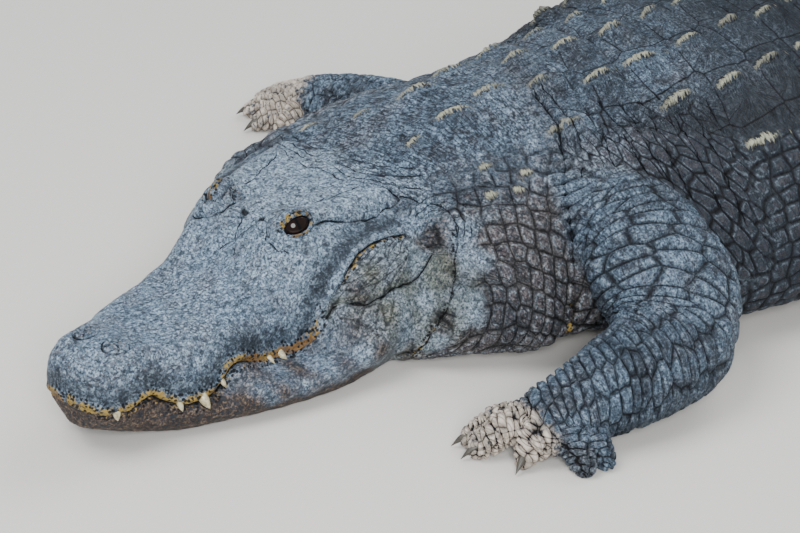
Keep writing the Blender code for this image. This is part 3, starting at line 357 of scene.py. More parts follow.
def tube_rings(path, count, around, dome=DOME_ANGLES):
    """Rings round a limb or digit through (x, y, z, half width, half height), with domed ends."""
    line = spread(path, count)
    steps = unit_rows(np.gradient(line[:, :3], axis=0))
    stations = []
    for angle in dome:
        shift = -steps[0] * math.sin(angle) * line[0, 3]
        stations.append((line[0, :3] + shift, steps[0], line[0, 3:] * math.cos(angle)))
    stations += [(spot[:3], step, spot[3:]) for spot, step in zip(line, steps)]
    for angle in dome[::-1]:
        shift = steps[-1] * math.sin(angle) * line[-1, 3]
        stations.append((line[-1, :3] + shift, steps[-1], line[-1, 3:] * math.cos(angle)))
    turns = np.linspace(0.0, 2.0 * math.pi, around, endpoint=False)
    rings = []
    for middle, along, half in stations:
        across = np.cross(along, (0.0, 0.0, 1.0))
        across /= np.linalg.norm(across)
        upward = np.cross(across, along)
        ring = middle + np.outer(np.cos(turns), across) * half[0]
        ring = ring + np.outer(np.sin(turns), upward) * half[1]
        ring[:, 2] = np.maximum(ring[:, 2], 0.0)
        rings.append(ring)
    return np.array(rings)


def digit_path(root, knuckle, tip):
    """The middle line and thickness of one digit."""
    low = np.array(tip) * 0.45 + np.array(knuckle) * 0.55
    return ((*root, DIGIT_THICK, DIGIT_THICK), (*knuckle, DIGIT_THICK, DIGIT_THICK),
            (*low, 0.9 * DIGIT_THICK, 0.9 * DIGIT_THICK), (*tip, DIGIT_TIP, DIGIT_TIP))


def tube(rings):
    """A tube through rings of points, with closed ends, as a bmesh of its own."""
    mesh = bmesh.new()
    rings = np.asarray(rings)
    count, around = rings.shape[:2]
    made = bmesh.ops.create_grid(mesh, x_segments=around, y_segments=count - 1, size=1.0)["verts"]
    spots = np.concatenate((rings, rings[:, :1]), 1).reshape(-1, 3)
    for vert, spot in zip(made, spots):
        vert.co = spot
    bmesh.ops.remove_doubles(mesh, verts=made, dist=1e-6)
    rim = [edge for edge in mesh.edges if edge.is_boundary]
    bmesh.ops.holes_fill(mesh, edges=rim, sides=0)
    return mesh


def join_into(whole, part):
    """Add a closed part to a larger bmesh, with its faces pointing outwards."""
    bmesh.ops.recalc_face_normals(part, faces=part.faces)
    data = bpy.data.meshes.new("part")
    part.to_mesh(data)
    part.free()
    whole.from_mesh(data)
    bpy.data.meshes.remove(data)


def new_object(name, mesh):
    """An object of a bmesh."""
    data = bpy.data.meshes.new(name)
    mesh.to_mesh(data)
    mesh.free()
    thing = bpy.data.objects.new(name, data)
    bpy.context.scene.collection.objects.link(thing)
    return thing


def dress(thing, material):
    """Shade an object smoothly, in one material."""
    thing.data.shade_smooth()
    thing.data.materials.append(material)


def evaluated(thing):
    """Apply an object's modifiers to its own mesh."""
    depsgraph = bpy.context.evaluated_depsgraph_get()
    data = bpy.data.meshes.new_from_object(thing.evaluated_get(depsgraph), depsgraph=depsgraph)
    thing.modifiers.clear()
    old = thing.data
    thing.data = data
    bpy.data.meshes.remove(old)


def head_side(back, count):
    """The left half section of the upper head, from the crown to the lip, as left and up."""
    crown = curve(CROWN_UP, back)
    ridge = (curve(RIDGE_OUT, back), curve(RIDGE_UP, back))
    points = ((0.0, crown),
              (0.5 * ridge[0], 0.5 * (crown + ridge[1]) + 0.1 * (crown - ridge[1])),
              ridge,
              (curve(BROW_OUT, back), curve(BROW_UP, back)),
              (curve(CHEEK_OUT, back), curve(CHEEK_UP, back)),
              (curve(LIP_OUT, back), curve(LIP_UP, back) + LIP_DEPTH))
    return spread(points, count)


def jaw_side(back, count, bulge=1.0):
    """A half section of the lower jaw, from its lip to the floor, as out and up."""
    lip = curve(LIP_UP, back)
    rest = curve(CHIN_LIFT, back)
    inner = curve(LIP_OUT, back)
    wide = inner + bulge * (curve(JAW_OUT, back) - inner)
    foot = inner + bulge * (curve(JAW_FLOOR, back) - inner)
    points = ((inner - 0.002, lip),
              (0.6 * inner + 0.4 * wide, 0.55 * lip + 0.45 * curve(JAW_UP, back)),
              (wide, np.maximum(curve(JAW_UP, back), rest)),
              (foot, rest))
    return spread(points, count)


def head_rings(upper):
    """Rings of the upper head, or of the lower jaw, a little past the cut behind the head."""
    rings = []
    front = np.linspace(0.0, 0.03, 9) if upper else np.linspace(0.01, 0.03, 5)
    rest = np.arange(0.036, 0.476 if upper else 0.446, HEAD_RING_PITCH)
    for back in np.concatenate((front, rest)):
        lip = curve(LIP_UP, back)
        if upper:
            side = head_side(back, HEAD_SIDE_POINTS)
            inner = 0.6 * curve(LIP_OUT, back)
            palate = ((inner, lip), (0.0, lip), (-inner, lip))
            ring = np.concatenate((side, palate, side[:0:-1] * (-1.0, 1.0)))
        else:
            left = jaw_side(back, JAW_SIDE_POINTS)
            right = jaw_side(back, JAW_SIDE_POINTS, JAW_RIGHT if back > 0.03 else 1.0)[::-1] * (-1.0, 1.0)
            ring = np.concatenate((((0.0, lip),), left, ((0.0, left[-1][1]),), right))
        rings.append(on_head(back, ring[:, 0], ring[:, 1]))
    return rings


def head_cut():
    """A point on the slanted cut behind the head, and its normal towards the tail."""
    low = Vector(on_head(HEAD_CUT_FLOOR, 0.0, 0.0))
    high = Vector(on_head(HEAD_CUT_TOP, 0.0, HEAD_CUT_HEIGHT))
    across = Vector(on_head(HEAD_CUT_FLOOR, 1.0, 0.0)) - low
    normal = across.cross(high - low).normalized()
    if normal.x < 0.0:
        normal.negate()
    return low, normal


def rough_body():
    """The whole animal as closed, overlapping volumes in one mesh."""
    whole = bmesh.new()
    turns = np.linspace(0.0, 2.0 * math.pi, BODY_SIDES, endpoint=False)
    places = np.arange(NECK_START, LENGTH + 0.001, BODY_PITCH)
    trunk = tube([body_points(place, turns) for place in places])
    point, normal = head_cut()
    cut = bmesh.ops.bisect_plane(trunk, geom=trunk.verts[:] + trunk.edges[:] + trunk.faces[:],
                                 plane_co=point, plane_no=-normal, clear_outer=True)
    bmesh.ops.holes_fill(trunk, edges=[edge for edge in trunk.edges if edge.is_boundary], sides=0)
    parts = [trunk, tube(head_rings(True)), tube(head_rings(False))]
    for _, path, digits, half_size in LIMBS:
        middle = np.mean([digit[1] for digit in digits], 0)
        wrist = np.array(path[-1])
        half_way = (*(0.5 * wrist[:3] + 0.5 * middle), *half_size)
        palm = (wrist * WRIST_SHARE, half_way, (*middle, 0.8 * half_size[0], half_size[1] * 0.8))
        parts += [tube(tube_rings(path, *LIMB_RINGS)), tube(tube_rings(palm, *PALM_RINGS))]
        parts += [tube(tube_rings(np.array(digit_path(*digit)) * PLUMP, *DIGIT_RINGS)) for digit in digits]
        if half_size == SOLE_HALF:
            part = bmesh.new()
            spots = []
            for _, knuckle, end in digits:
                spots += [knuckle, (np.array(knuckle) + end) / 2.0]
            corners = [part.verts.new((spot[0], spot[1], up)) for spot in spots for up in WEB_UP]
            bmesh.ops.convex_hull(part, input=corners)
            loose = [vert for vert in part.verts if not vert.link_faces]
            bmesh.ops.delete(part, geom=loose, context="VERTS")
            parts.append(part)
    for part in parts:
        join_into(whole, part)
    return new_object("hide", whole)


def base_skin():
    """One even skin round the rough body, finer where the face needs it."""
    thing = rough_body()
    remesh = thing.modifiers.new("even", "REMESH")
    remesh.mode = "VOXEL"
    remesh.voxel_size = VOXEL
    smooth = thing.modifiers.new("soften", "SMOOTH")
    smooth.factor = 0.5
    smooth.iterations = SMOOTHING
    finer = thing.modifiers.new("finer", "SUBSURF")
    finer.levels = finer.render_levels = 1
    evaluated(thing)
    mesh = bmesh.new()
    mesh.from_mesh(thing.data)
    close = fine_places(read_points(thing.data))
    edges = [edge for edge in mesh.edges if close[edge.verts[0].index] and close[edge.verts[1].index]]
    made = bmesh.ops.subdivide_edges(mesh, edges=edges, cuts=1, use_grid_fill=True)
    fresh = [item for item in made["geom_inner"] if isinstance(item, bmesh.types.BMVert)]
    bmesh.ops.smooth_vert(mesh, verts=fresh, factor=0.5, use_axis_x=True, use_axis_y=True, use_axis_z=True)
    mesh.to_mesh(thing.data)
    mesh.free()
    return thing


def head_place(points):
    """How far back, left and up points are in the head's frame."""
    turn = math.radians(HEADING[0][1])
    back = points[:, 0] * math.cos(turn) + points[:, 1] * math.sin(turn)
    return back, points[:, 0] * math.sin(turn) - points[:, 1] * math.cos(turn), points[:, 2]


def lip_distance(points, reach):
    """Distance to the line between the lips, at most reach, and which points are above it."""
    back, left, up = head_place(points)
    along = np.linspace(0.0, 0.46, 920)
    tree = KDTree(2 * len(along))
    for side in (1.0, -1.0):
        for spot in on_head(along, side * curve(LIP_OUT, along), curve(LIP_UP, along)):
            tree.insert(spot, 0)
    tree.balance()
    distance = np.full(len(points), reach)
    lip_up = curve(LIP_UP, back)
    near = np.flatnonzero((back < 0.47) & (back > -0.02) & (np.abs(up - lip_up) < reach))
    for index in near:
        distance[index] = min(tree.find(points[index])[2], reach)
    above = (up > lip_up) & (np.abs(left) < curve(LIP_OUT, back) + 0.006)
    return np.where(above, distance, -distance)


# Places on either side of the head that get a finer skin, as back, out and up, and how far round them
FINE_PLACES = (
    ((0.31, 0.066, 0.165), 0.04),
    ((0.055, 0.0225, 0.118), 0.022),
    ((0.316, 0.023, 0.167), 0.03),
)


def fine_places(points):
    """Which points are by the lips, eyes, nostrils, ears or pouch."""
    close = np.abs(lip_distance(points, 0.03)) < 0.01
    back, left, up = head_place(points)
    wide = np.abs(left)
    for place, reach in FINE_PLACES:
        gap = np.stack((back, wide, up), 1) - place
        close |= np.linalg.norm(gap, axis=1) < reach
    close |= (back > 0.3) & (back < 0.455) & (left > 0.07) & (up > 0.05) & (up < 0.172)
    return close


def read_points(data, normals=False):
    """The vertices of a mesh, or their normals, as an array."""
    values = np.empty(len(data.vertices) * 3, np.float64)
    if normals:
        values = values.astype(np.float32)
        data.vertex_normals.foreach_get("vector", values)
    else:
        data.vertices.foreach_get("co", values)
    return values.reshape(-1, 3).astype(float)


def write_points(data, points):
    """Put the vertices of a mesh at new places."""
    data.vertices.foreach_set("co", np.asarray(points, np.float32).ravel())
    data.update()


def write_field(data, name, values):
    """Keep one number, or one vector, for each vertex under a name."""
    values = np.asarray(values, np.float32)
    kind = "FLOAT" if values.ndim == 1 else "FLOAT_VECTOR"
    field = data.attributes.new(name, kind, "POINT")
    field.data.foreach_set("value" if values.ndim == 1 else "vector", values.ravel())


class Places:
    """Where each point of the hide lies on the animal."""

    def __init__(self, points):
        self.points = points
        self.back, self.left, self.up = head_place(points)
        point, normal = head_cut()
        behind = (points - np.array(point)) @ np.array(normal)
        self.past_head = np.maximum(behind, np.abs(self.left) - HEAD_REACH)
        self.find_body()
        self.find_limbs()

    def find_body(self):
        """The place along the spine, the distance to its left, and the way round the body."""
        place = np.interp(self.points[:, 0], SPINE[1], SPINE[0])
        for _ in range(5):
            lean = np.radians(curve(SECTION_TURN, place))
            ahead = (self.points[:, 0] - np.interp(place, SPINE[0], SPINE[1])) * np.cos(lean) \
                + (self.points[:, 1] - np.interp(place, SPINE[0], SPINE[2])) * np.sin(lean)
            place = np.clip(place + 0.8 * ahead, 0.0, LENGTH)
        lean = np.radians(curve(SECTION_TURN, place))
        off_x = self.points[:, 0] - np.interp(place, SPINE[0], SPINE[1])
        off_y = self.points[:, 1] - np.interp(place, SPINE[0], SPINE[2])
        side = off_x * np.sin(lean) - off_y * np.cos(lean)
        half = curve(BODY_HALF, place) * np.where(side < 0.0, curve(RIGHT_SHARE, place), 1.0)
        wide = curve(BODY_WIDE, place)
        above = self.up >= wide
        reach = np.where(above, curve(BODY_TOP, place) - wide, wide + BELLY_PRESS)
        power = np.where(above, curve(UPPER_POWER, place), curve(LOWER_POWER, place))
        out = (np.abs(side) / half) ** power
        high = (np.abs(self.up - wide) / reach) ** power
        self.place, self.side = place, side
        self.outside = ((out + high) ** (1.0 / power) - 1.0) * np.minimum(half, reach)
        turn = np.arctan2(np.sign(side) * np.sqrt(out), np.where(above, 1.0, -1.0) * np.sqrt(high))
        self.arc = self.arc_of(place, turn)

    def arc_of(self, place, turn):
        """Distance round the body from the middle of the back, read from a table of its girth."""
        places = np.linspace(NECK_START, LENGTH, 160)
        turns = np.linspace(-math.pi, math.pi, 129)
        spots = body_points(places[:, None], turns[None, :])
        steps = np.linalg.norm(np.diff(spots, axis=1), axis=2)
        reach = np.concatenate((np.zeros((len(places), 1)), np.cumsum(steps, 1)), 1)
        reach -= reach[:, 64:65]
        row = np.clip((place - places[0]) / (places[1] - places[0]), 0.0, len(places) - 1.001)
        column = (turn + math.pi) / (2.0 * math.pi) * 127.999
        i, j = row.astype(int), column.astype(int)
        a, b = row - i, column - j
        return ((1 - a) * (1 - b) * reach[i, j] + a * (1 - b) * reach[i + 1, j]
                + (1 - a) * b * reach[i, j + 1] + a * b * reach[i + 1, j + 1])

    def find_limbs(self):
        """How surely a point is on a limb, which limb, how far along it, and round it."""
        count = len(self.points)
        self.limb = np.full(count, -1)
        self.limb_share = np.zeros(count)
        self.limb_along = np.zeros(count)
        self.limb_round = np.zeros(count)
        self.hand = np.zeros(count)
        for index, (_, path, digits, _) in enumerate(LIMBS):
            line = spread(path, 60)
            knuckles = np.mean([digit[1] for digit in digits], 0)
            tips = np.mean([digit[2] for digit in digits], 0)
            line = np.concatenate((line, [(*spot, 0.03, 0.03) for spot in (knuckles, tips)]))
            reach = reach_along(line[:, :3])
            self.follow(index, line, reach, 0.055, (1.45, 2.0), 0.0)
            for digit in digits:
                line = spread(digit_path(*digit), 16)
                ahead = reach_along(line[:, :3])
                self.follow(index, line, reach[-2] - 0.02 + 1.7 * ahead, 0.026, (1.5, 1.9), 0.02)

    def follow(self, index, line, reach, girth, fade, more):
        """Take the points close to one line of a limb, or of a digit."""
        steps = unit_rows(np.gradient(line[:, :3], axis=0))
        wide = fade[1] * line[:, 3].max()
        low, high = line[:, :3].min(0) - wide, line[:, :3].max(0) + wide
        inside = ((self.points > low) & (self.points < high)).all(1)
        near = np.flatnonzero(inside & (self.past_head > 0.0))
        spots = self.points[near]
        gap = ((spots[:, None, :] - line[None, :, :3]) ** 2).sum(2)
        weight = np.exp(-(gap - gap.min(1)[:, None]) / 4e-4)
        weight /= weight.sum(1)[:, None]
        middle, step = weight @ line[:, :3], unit_rows(weight @ steps)
        offset = spots - middle
        along = (offset * step).sum(1)
        across = unit_rows(np.cross(step, (0.0, 0.0, 1.0)))
        upward = np.cross(across, step)
        turn = np.arctan2((offset * across).sum(1), (offset * upward).sum(1))
        far = np.sqrt(np.maximum((offset ** 2).sum(1) - along ** 2, 0.0)) / (weight @ line[:, 3])
        share = step_down(*fade, far) * step_down(0.01, 0.03, np.abs(along) - 0.02)
        if not more:
            trunk = step_down(0.002, 0.02, self.outside[near])
            root = step_up(0.1, 0.15, spots[:, 2]) * step_down(0.185, 0.215, spots[:, 2])
            if index < 2:
                place = self.place[near]
                root *= step_up(0.64, 0.665, place) * step_down(0.735, 0.765, place)
            share *= 1.0 - trunk * (1.0 - root)
        better = share + more > self.limb_share[near]
        keep = near[better]
        self.limb[keep] = index
        self.limb_share[keep] = np.maximum(self.limb_share[keep], share[better])
        self.limb_along[keep] = (weight @ reach + along)[better]
        self.limb_round[keep] = turn[better] * girth
        wrist = reach[0] if more else reach[-3]
        self.hand[keep] = step_up(-0.03, 0.02, (weight @ reach + along - wrist)[better])


def head_route(route, side=1.0):
    """A route on the head, given as back, left and up, or its mirror image."""
    return on_head(*(np.array(route) * (1.0, side, 1.0)).T)


def row_places():
    """The rows of scutes along the trunk and tail, as in the solids."""
    rows = []
    for start, end in SPANS:
        count = round((end - start) / float(curve(ROW_PITCH, (start + end) / 2.0)))
        pitch = (end - start) / count
        rows += [start + (k + 0.5) * pitch for k in range(count)]
    return np.array(rows)


ROWS = row_places()


def stroke(points, route, width):
    """How near points are to a route: 1 on it, fading over a width."""
    route = np.array(route, float)
    low, high = route.min(0) - 3.0 * width, route.max(0) + 3.0 * width
    near = np.flatnonzero(((points > low) & (points < high)).all(1))
    result = np.zeros(len(points))
    if not len(near):
        return result
    spots = points[near]
    best = np.full(len(near), 9.0)
    for start, end in zip(route, route[1:]):
        way = end - start
        share = np.clip(((spots - start) @ way) / (way @ way), 0.0, 1.0)
        best = np.minimum(best, np.linalg.norm(spots - start - share[:, None] * way, axis=1))
    result[near] = bell(best, width)
    return result


def wobble(points, pitch, seed):
    """A slow, smooth wandering between -1 and 1, about a pitch apart."""
    draw = random.Random(seed)
    total = np.zeros(len(points))
    for _ in range(5):
        way = np.array([draw.gauss(0.0, 1.0) for _ in range(3)])
        way *= 2.0 * math.pi / (pitch * draw.uniform(0.7, 1.4) * np.linalg.norm(way))
        total += np.sin(points @ way + draw.uniform(0.0, 6.3))
    return total / 3.0


def patches(points, pitch, seed, middle, swing, low, high):
    """A slow, smooth wandering round a middle value, kept between two limits."""
    return np.clip(middle + swing * wobble(points, pitch, seed), low, high)


# Routes of the folds on the head, as back, left and up, with each one's width and depth. Most of the
# points of these routes, and of those below, were read off the photo with the fitted camera.
HEAD_FOLDS = (
    (((0.327, 0.072, 0.167), (0.345, 0.073, 0.164), (0.373, 0.083, 0.156), (0.408, 0.095, 0.151),
      (0.438, 0.097, 0.152)), 0.0013, 0.004),
    (((0.434, 0.004, 0.173), (0.43, 0.025, 0.173), (0.439, 0.05, 0.171), (0.452, 0.085, 0.167),
      (0.452, 0.1, 0.16), (0.44, 0.099, 0.154)), 0.0013, 0.0034),
    (((0.446, 0.01, 0.174), (0.443, 0.03, 0.174), (0.452, 0.06, 0.171), (0.466, 0.095, 0.165),
      (0.474, 0.12, 0.16)), 0.0012, 0.0028),
    (((0.457, 0.0, 0.175), (0.458, 0.04, 0.174), (0.472, 0.08, 0.168), (0.49, 0.11, 0.165)),
     0.0012, 0.0024),
    (((0.472, 0.02, 0.175), (0.478, 0.06, 0.174), (0.494, 0.095, 0.168)), 0.0011, 0.002),
    (((0.307, 0.107, 0.067), (0.319, 0.112, 0.08), (0.331, 0.128, 0.083), (0.349, 0.146, 0.087),
      (0.38, 0.154, 0.091), (0.405, 0.157, 0.093), (0.423, 0.163, 0.11), (0.431, 0.167, 0.121)),
     0.0014, 0.0055),
    (((0.314, 0.029, 0.17), (0.302, 0.03, 0.165), (0.289, 0.037, 0.159), (0.279, 0.05, 0.154),
      (0.279, 0.06, 0.151), (0.288, 0.068, 0.148)), 0.0012, 0.0034),
    (((0.38, 0.05, 0.172), (0.392, 0.055, 0.172), (0.408, 0.056, 0.172), (0.426, 0.061, 0.172)),
     0.0011, 0.002),
    (((0.345, 0.046, 0.174), (0.362, 0.044, 0.172), (0.376, 0.047, 0.172)), 0.001, 0.0014),
    (((0.3, 0.008, 0.16), (0.284, 0.004, 0.15), (0.27, -0.004, 0.14), (0.262, -0.01, 0.136)),
     0.001, 0.0014),
    (((0.3, 0.052, 0.172), (0.305, 0.05, 0.176), (0.316, 0.055, 0.18), (0.327, 0.062, 0.178)),
     0.001, 0.0018),
    (((0.045, 0.015, 0.12), (0.054, 0.0205, 0.121), (0.06, 0.0205, 0.12), (0.068, 0.025, 0.118)),
     0.0007, 0.0014),
    (((0.0555, 0.021, 0.121), (0.056, 0.029, 0.117)), 0.0007, 0.0012),
)
# Routes of the folds behind the head, from the snout's tip, with each one's width and depth
BODY_FOLDS = (
    (((0.465, 0.025, 0.161), (0.475, 0.0, 0.16), (0.487, -0.03, 0.163), (0.484, -0.055, 0.15),
      (0.468, -0.074, 0.12), (0.456, -0.087, 0.097), (0.445, -0.092, 0.078), (0.433, -0.092, 0.061),
      (0.419, -0.089, 0.039), (0.404, -0.08, 0.012)), 0.0014, 0.004),
    (((0.65, 0.007, 0.255), (0.639, -0.044, 0.239), (0.629, -0.069, 0.213), (0.609, -0.099, 0.186),
      (0.592, -0.131, 0.153), (0.581, -0.15, 0.126), (0.572, -0.167, 0.091), (0.566, -0.172, 0.055),
      (0.566, -0.174, 0.02)), 0.0024, 0.01),
    (((0.664, 0.01, 0.252), (0.655, -0.045, 0.24), (0.644, -0.082, 0.222), (0.626, -0.11, 0.195)),
     0.0015, 0.0045),
    (((0.683, -0.03, 0.25), (0.676, -0.08, 0.235), (0.664, -0.12, 0.21)), 0.0014, 0.0035),
    (((0.699, -0.051, 0.248), (0.694, -0.112, 0.221), (0.69, -0.15, 0.205), (0.694, -0.19, 0.19),
      (0.702, -0.225, 0.16)), 0.0018, 0.0055),
    (((0.715, -0.07, 0.249), (0.71, -0.115, 0.23), (0.706, -0.155, 0.207), (0.708, -0.185, 0.19),
      (0.714, -0.215, 0.16)), 0.0015, 0.0045),
    (((0.737, -0.083, 0.251), (0.73, -0.116, 0.232), (0.724, -0.156, 0.205), (0.722, -0.19, 0.178),
      (0.722, -0.225, 0.145)), 0.0014, 0.0038),
    (((0.756, -0.11, 0.248), (0.752, -0.155, 0.222), (0.748, -0.183, 0.199), (0.746, -0.22, 0.168)),
     0.0013, 0.0034),
    (((0.775, -0.13, 0.245), (0.772, -0.165, 0.222), (0.768, -0.2, 0.195), (0.766, -0.24, 0.15)),
     0.0013, 0.0028),
)
BULGES = (
    (((0.332, 0.117, 0.095), (0.354, 0.13, 0.102), (0.382, 0.138, 0.108), (0.418, 0.143, 0.111)),
     0.015, 0.01),
    (((0.44, 0.16, 0.141), (0.446, 0.164, 0.143)), 0.016, 0.01),
    (((0.345, 0.06, 0.17), (0.38, 0.074, 0.163), (0.42, 0.09, 0.159)), 0.01, 0.003),
)
KNOB = (0.443, 0.163, 0.141)
POUCH = ((0.312, 0.108, 0.078), (0.431, 0.163, 0.1245))
# Lower edge of the pouch, fold behind the jowl and hollow of the jowl on the head, and the armpit's fold
POUCH_EDGE = ((0.312, 0.108, 0.07), (0.322, 0.112, 0.082), (0.35, 0.142, 0.09), (0.38, 0.15, 0.094),
              (0.405, 0.152, 0.097))
JOWL_REAR = ((0.448, 0.184, 0.145), (0.429, 0.197, 0.119), (0.416, 0.206, 0.097), (0.404, 0.208, 0.078),
             (0.393, 0.204, 0.061), (0.38, 0.198, 0.039), (0.37, 0.185, 0.018))
JOWL_HOLLOW = (0.425, 0.185, 0.098)
JOWL_HOLLOW_HALF = (0.022, 0.03, 0.036)
ARMPIT = ((0.566, -0.17, 0.075), (0.568, -0.172, 0.035))
# What the finish reads at each point: one number for a mark or a tone, and three for the rest
MARKS = ("crease", "ochre", "pebble")
TONES = ("brown", "sand", "olive")
TRIPLES = ("fold_gap", "fold_force", "keel")


def sculpt(data):
    """Raise the folds, lips, lids and keels, and keep what the finish reads."""
    points, normals = read_points(data), read_points(data, True)
    spots = Places(points)
    surface = Surface(points, normals)
    rise = np.zeros(len(points))
    marks = {name: np.zeros(len(points)) for name in MARKS + TONES}
    marks.update({name: np.zeros((len(points), 3)) for name in TRIPLES})
    head = step_down(-0.006, 0.01, spots.past_head + 0.01 * wobble(points, 0.045, 3))
    mouth = lips(spots, rise, marks)
    for number, (route, width, depth) in enumerate(HEAD_FOLDS):
        for side in (1.0, -1.0):
            fold(surface, head_route(route, side), width, depth, number, rise, marks)
    for number, (route, width, depth) in enumerate(BODY_FOLDS):
        fold(surface, route, width, depth, len(HEAD_FOLDS) + number, rise, marks)
    for route, width, height in BULGES:
        for side in (1.0, -1.0):
            line = surface.onto(spread(head_route(route, side), 12))
            rise += height * stroke(points, line, width)
    jaw_joint(spots, rise, marks)
    sockets(points, rise, marks)
    face_forms(spots, rise, marks)
    shades(spots, surface, marks)
    row, column, rank = keels(spots, rise, marks)
    write_points(data, points + normals * rise[:, None])
    clamp_floor(data)
    write_field(data, "lie", np.stack((spots.place, spots.arc, spots.side), 1))
    write_field(data, "plate", np.stack((row, column, rank), 1))
    write_field(data, "limb_lie", np.stack((spots.limb_along, spots.limb_round, spots.limb_share), 1))
    write_field(data, "face", np.stack((head, spots.lip, mouth), 1))
    write_field(data, "marks", np.stack([marks[name] for name in MARKS], 1))
    write_field(data, "tone", np.stack([marks[name] for name in TONES], 1))
    write_field(data, "pouch", pouch_lie(spots))
    for name in TRIPLES:
        write_field(data, name, marks[name])
    return spots


def mark_up(marks, name, force, where=slice(None)):
    """Keep the stronger one of a mark that is there and a new one."""
    marks[name][where] = np.maximum(marks[name][where], force)


def pouch_lie(spots):
    """Distances along and across the pouch at the mouth's corner, and where it is."""
    spot = np.stack((spots.back, np.abs(spots.left), spots.up), 1) - POUCH[0]
    way = np.array(POUCH[1]) - POUCH[0]
    reach = np.linalg.norm(way)
    way /= reach
    over = np.array((-0.35, 0.25, 1.0))
    over -= way * (over @ way)
    over /= np.linalg.norm(over)
    along, across = spot @ way, spot @ over
    swell = np.sin(np.pi * np.clip(along / reach, 0.0, 1.0))
    across = across - 0.009 * swell
    half = 0.02 * swell ** 0.7 + 0.0015
    inside = step_down(0.85, 1.1, np.abs(across) / half) * (spots.lip < 0.001) * (spots.left > 0.0)
    inside *= step_up(-0.004, 0.004, along) * step_down(-0.004, 0.004, along - reach)
    return np.stack((along, across, inside), 1)


class Surface:
    """The front part of the bare skin, for laying routes on it."""

    def __init__(self, points, normals):
        self.points, self.normals = points, normals
        front = np.flatnonzero(points[:, 0] < SURFACE_END)
        self.tree = KDTree(len(front))
        for index in front:
            self.tree.insert(points[index], index)
        self.tree.balance()

    def onto(self, route):
        """A route moved along the skin's normals until it lies on the skin."""
        laid = []
        for spot in route:
            index = self.tree.find(spot)[1]
            normal = self.normals[index]
            laid.append(spot - normal * ((spot - self.points[index]) @ normal))
        return np.array(laid)


def fold(surface, route, width, depth, number, rise, marks):
    """Press in one fold with soft shoulders, and keep the signed distance to it for the finish."""
    points = surface.points
    route = surface.onto(spread(route, 40))
    route = route + 0.0015 * np.stack([wobble(route, 0.018, 7 * number + axis) for axis in range(3)], 1)
    low, high = route.min(0) - FOLD_REACH, route.max(0) + FOLD_REACH
    near = np.flatnonzero(((points > low) & (points < high)).all(1))
    best, turn = np.full(len(near), 9.0), np.zeros(len(near))
    for start, end in zip(route, route[1:]):
        way = end - start
        offset = points[near] - start
        share = np.clip((offset @ way) / (way @ way), 0.0, 1.0)
        gap = np.linalg.norm(offset - share[:, None] * way, axis=1)
        closer = gap < best
        best[closer] = gap[closer]
        turn[closer] = np.sign((np.cross(way, offset) * surface.normals[near]).sum(1))[closer]
    force = patches(points[near], 0.028, number, 0.72, 0.6, min(0.9, 120.0 * depth), 1.0)
    soft = max(width, FOLD_SOFT)
    rise[near] -= force * depth * (bell(best, soft) + 0.22 * bell(best, 2.6 * soft))
    channel = number % 3
    force *= bell(best, FOLD_FADE)
    stronger = force > marks["fold_force"][near, channel]
    chosen = near[stronger]
    marks["fold_force"][chosen, channel] = force[stronger]
    marks["fold_gap"][chosen, channel] = (np.clip(best / width, 0.0, 9.0) * turn)[stronger]


def lips(spots, rise, marks):
    """Part the lips, roll their edges, and colour them."""
    lip = spots.lip = lip_distance(spots.points, 0.08)
    mouth = step_down(0.425, 0.445, spots.back) * (spots.past_head < 0.02)
    rise -= mouth * 0.005 * bell(lip, 0.0017)
    front = step_down(0.29, 0.315, spots.back)
    rise += mouth * 0.0028 * bell(lip, 0.0045, 0.007) * (0.3 + 0.7 * front)
    rise += mouth * 0.001 * bell(lip, 0.0035, -0.0055)
    edge = lip + 0.0022 * wobble(spots.points, 0.014, 5)
    upper = (lip > 0.0) * step_down(0.005, 0.02, edge) * front
    lower = (lip <= 0.0) * step_down(0.003, 0.015, -edge) * 0.62 * front
    rear = (lip <= 0.0) * step_down(0.0022, 0.005, -edge) * (1.0 - front) * 0.8
    mark_up(marks, "ochre", mouth * (upper + lower + rear))
    ragged = 0.02 * wobble(spots.points, 0.05, 8)
    side = step_down(0.15, 0.25, spots.back + ragged + 2.0 * np.maximum(spots.up - 0.02, 0.0))
    under = step_down(0.3, 0.4, spots.back + ragged) * step_down(0.01, 0.03, spots.up + 0.2 * ragged)
    drab = patches(spots.points, 0.04, 14, 0.38, 0.35, 0.0, 0.8) * step_down(0.32, 0.38, spots.back)
    marks["brown"][:] = (lip < 0.0) * (spots.up < curve(LIP_UP, spots.back) + 0.01) \
        * np.maximum(np.maximum(side, under), drab) * step_down(0.0, 0.02, spots.past_head)
    return mouth


def jaw_joint(spots, rise, marks):
    """The granular knob at the jaw's joint, with rings of folds behind it."""
    gap = np.stack((spots.back, np.abs(spots.left), spots.up), 1) - KNOB
    far = np.linalg.norm(gap, axis=1)
    mark_up(marks, "pebble", 0.7 - 0.7 * step_up(0.014, 0.03, far))
    behind = step_up(-0.006, 0.012, gap[:, 0] + 0.4 * gap[:, 2])
    rings = np.cos((far + 0.0015 * wobble(spots.points, 0.02, 7)) * 2.0 * math.pi / 0.0085)
    line = step_up(0.45, 1.0, rings) * behind * step_up(0.018, 0.026, far) * step_down(0.045, 0.065, far)
    rise -= 0.0024 * line
    mark_up(marks, "crease", 0.8 * line)


def eye_frame(side):
    """The front of an eye, with the ways back along the head, up, and out."""
    back, left, up = EYE_FACE
    face = on_head(back, side * left, up)
    look = (face - eye_middle(side)) / EYE_RADIUS
    along = on_head(1.0, 0.0, 0.0)
    level = along - look * (along @ look)
    level /= np.linalg.norm(level)
    return face, level, np.cross(level, look) * side, look


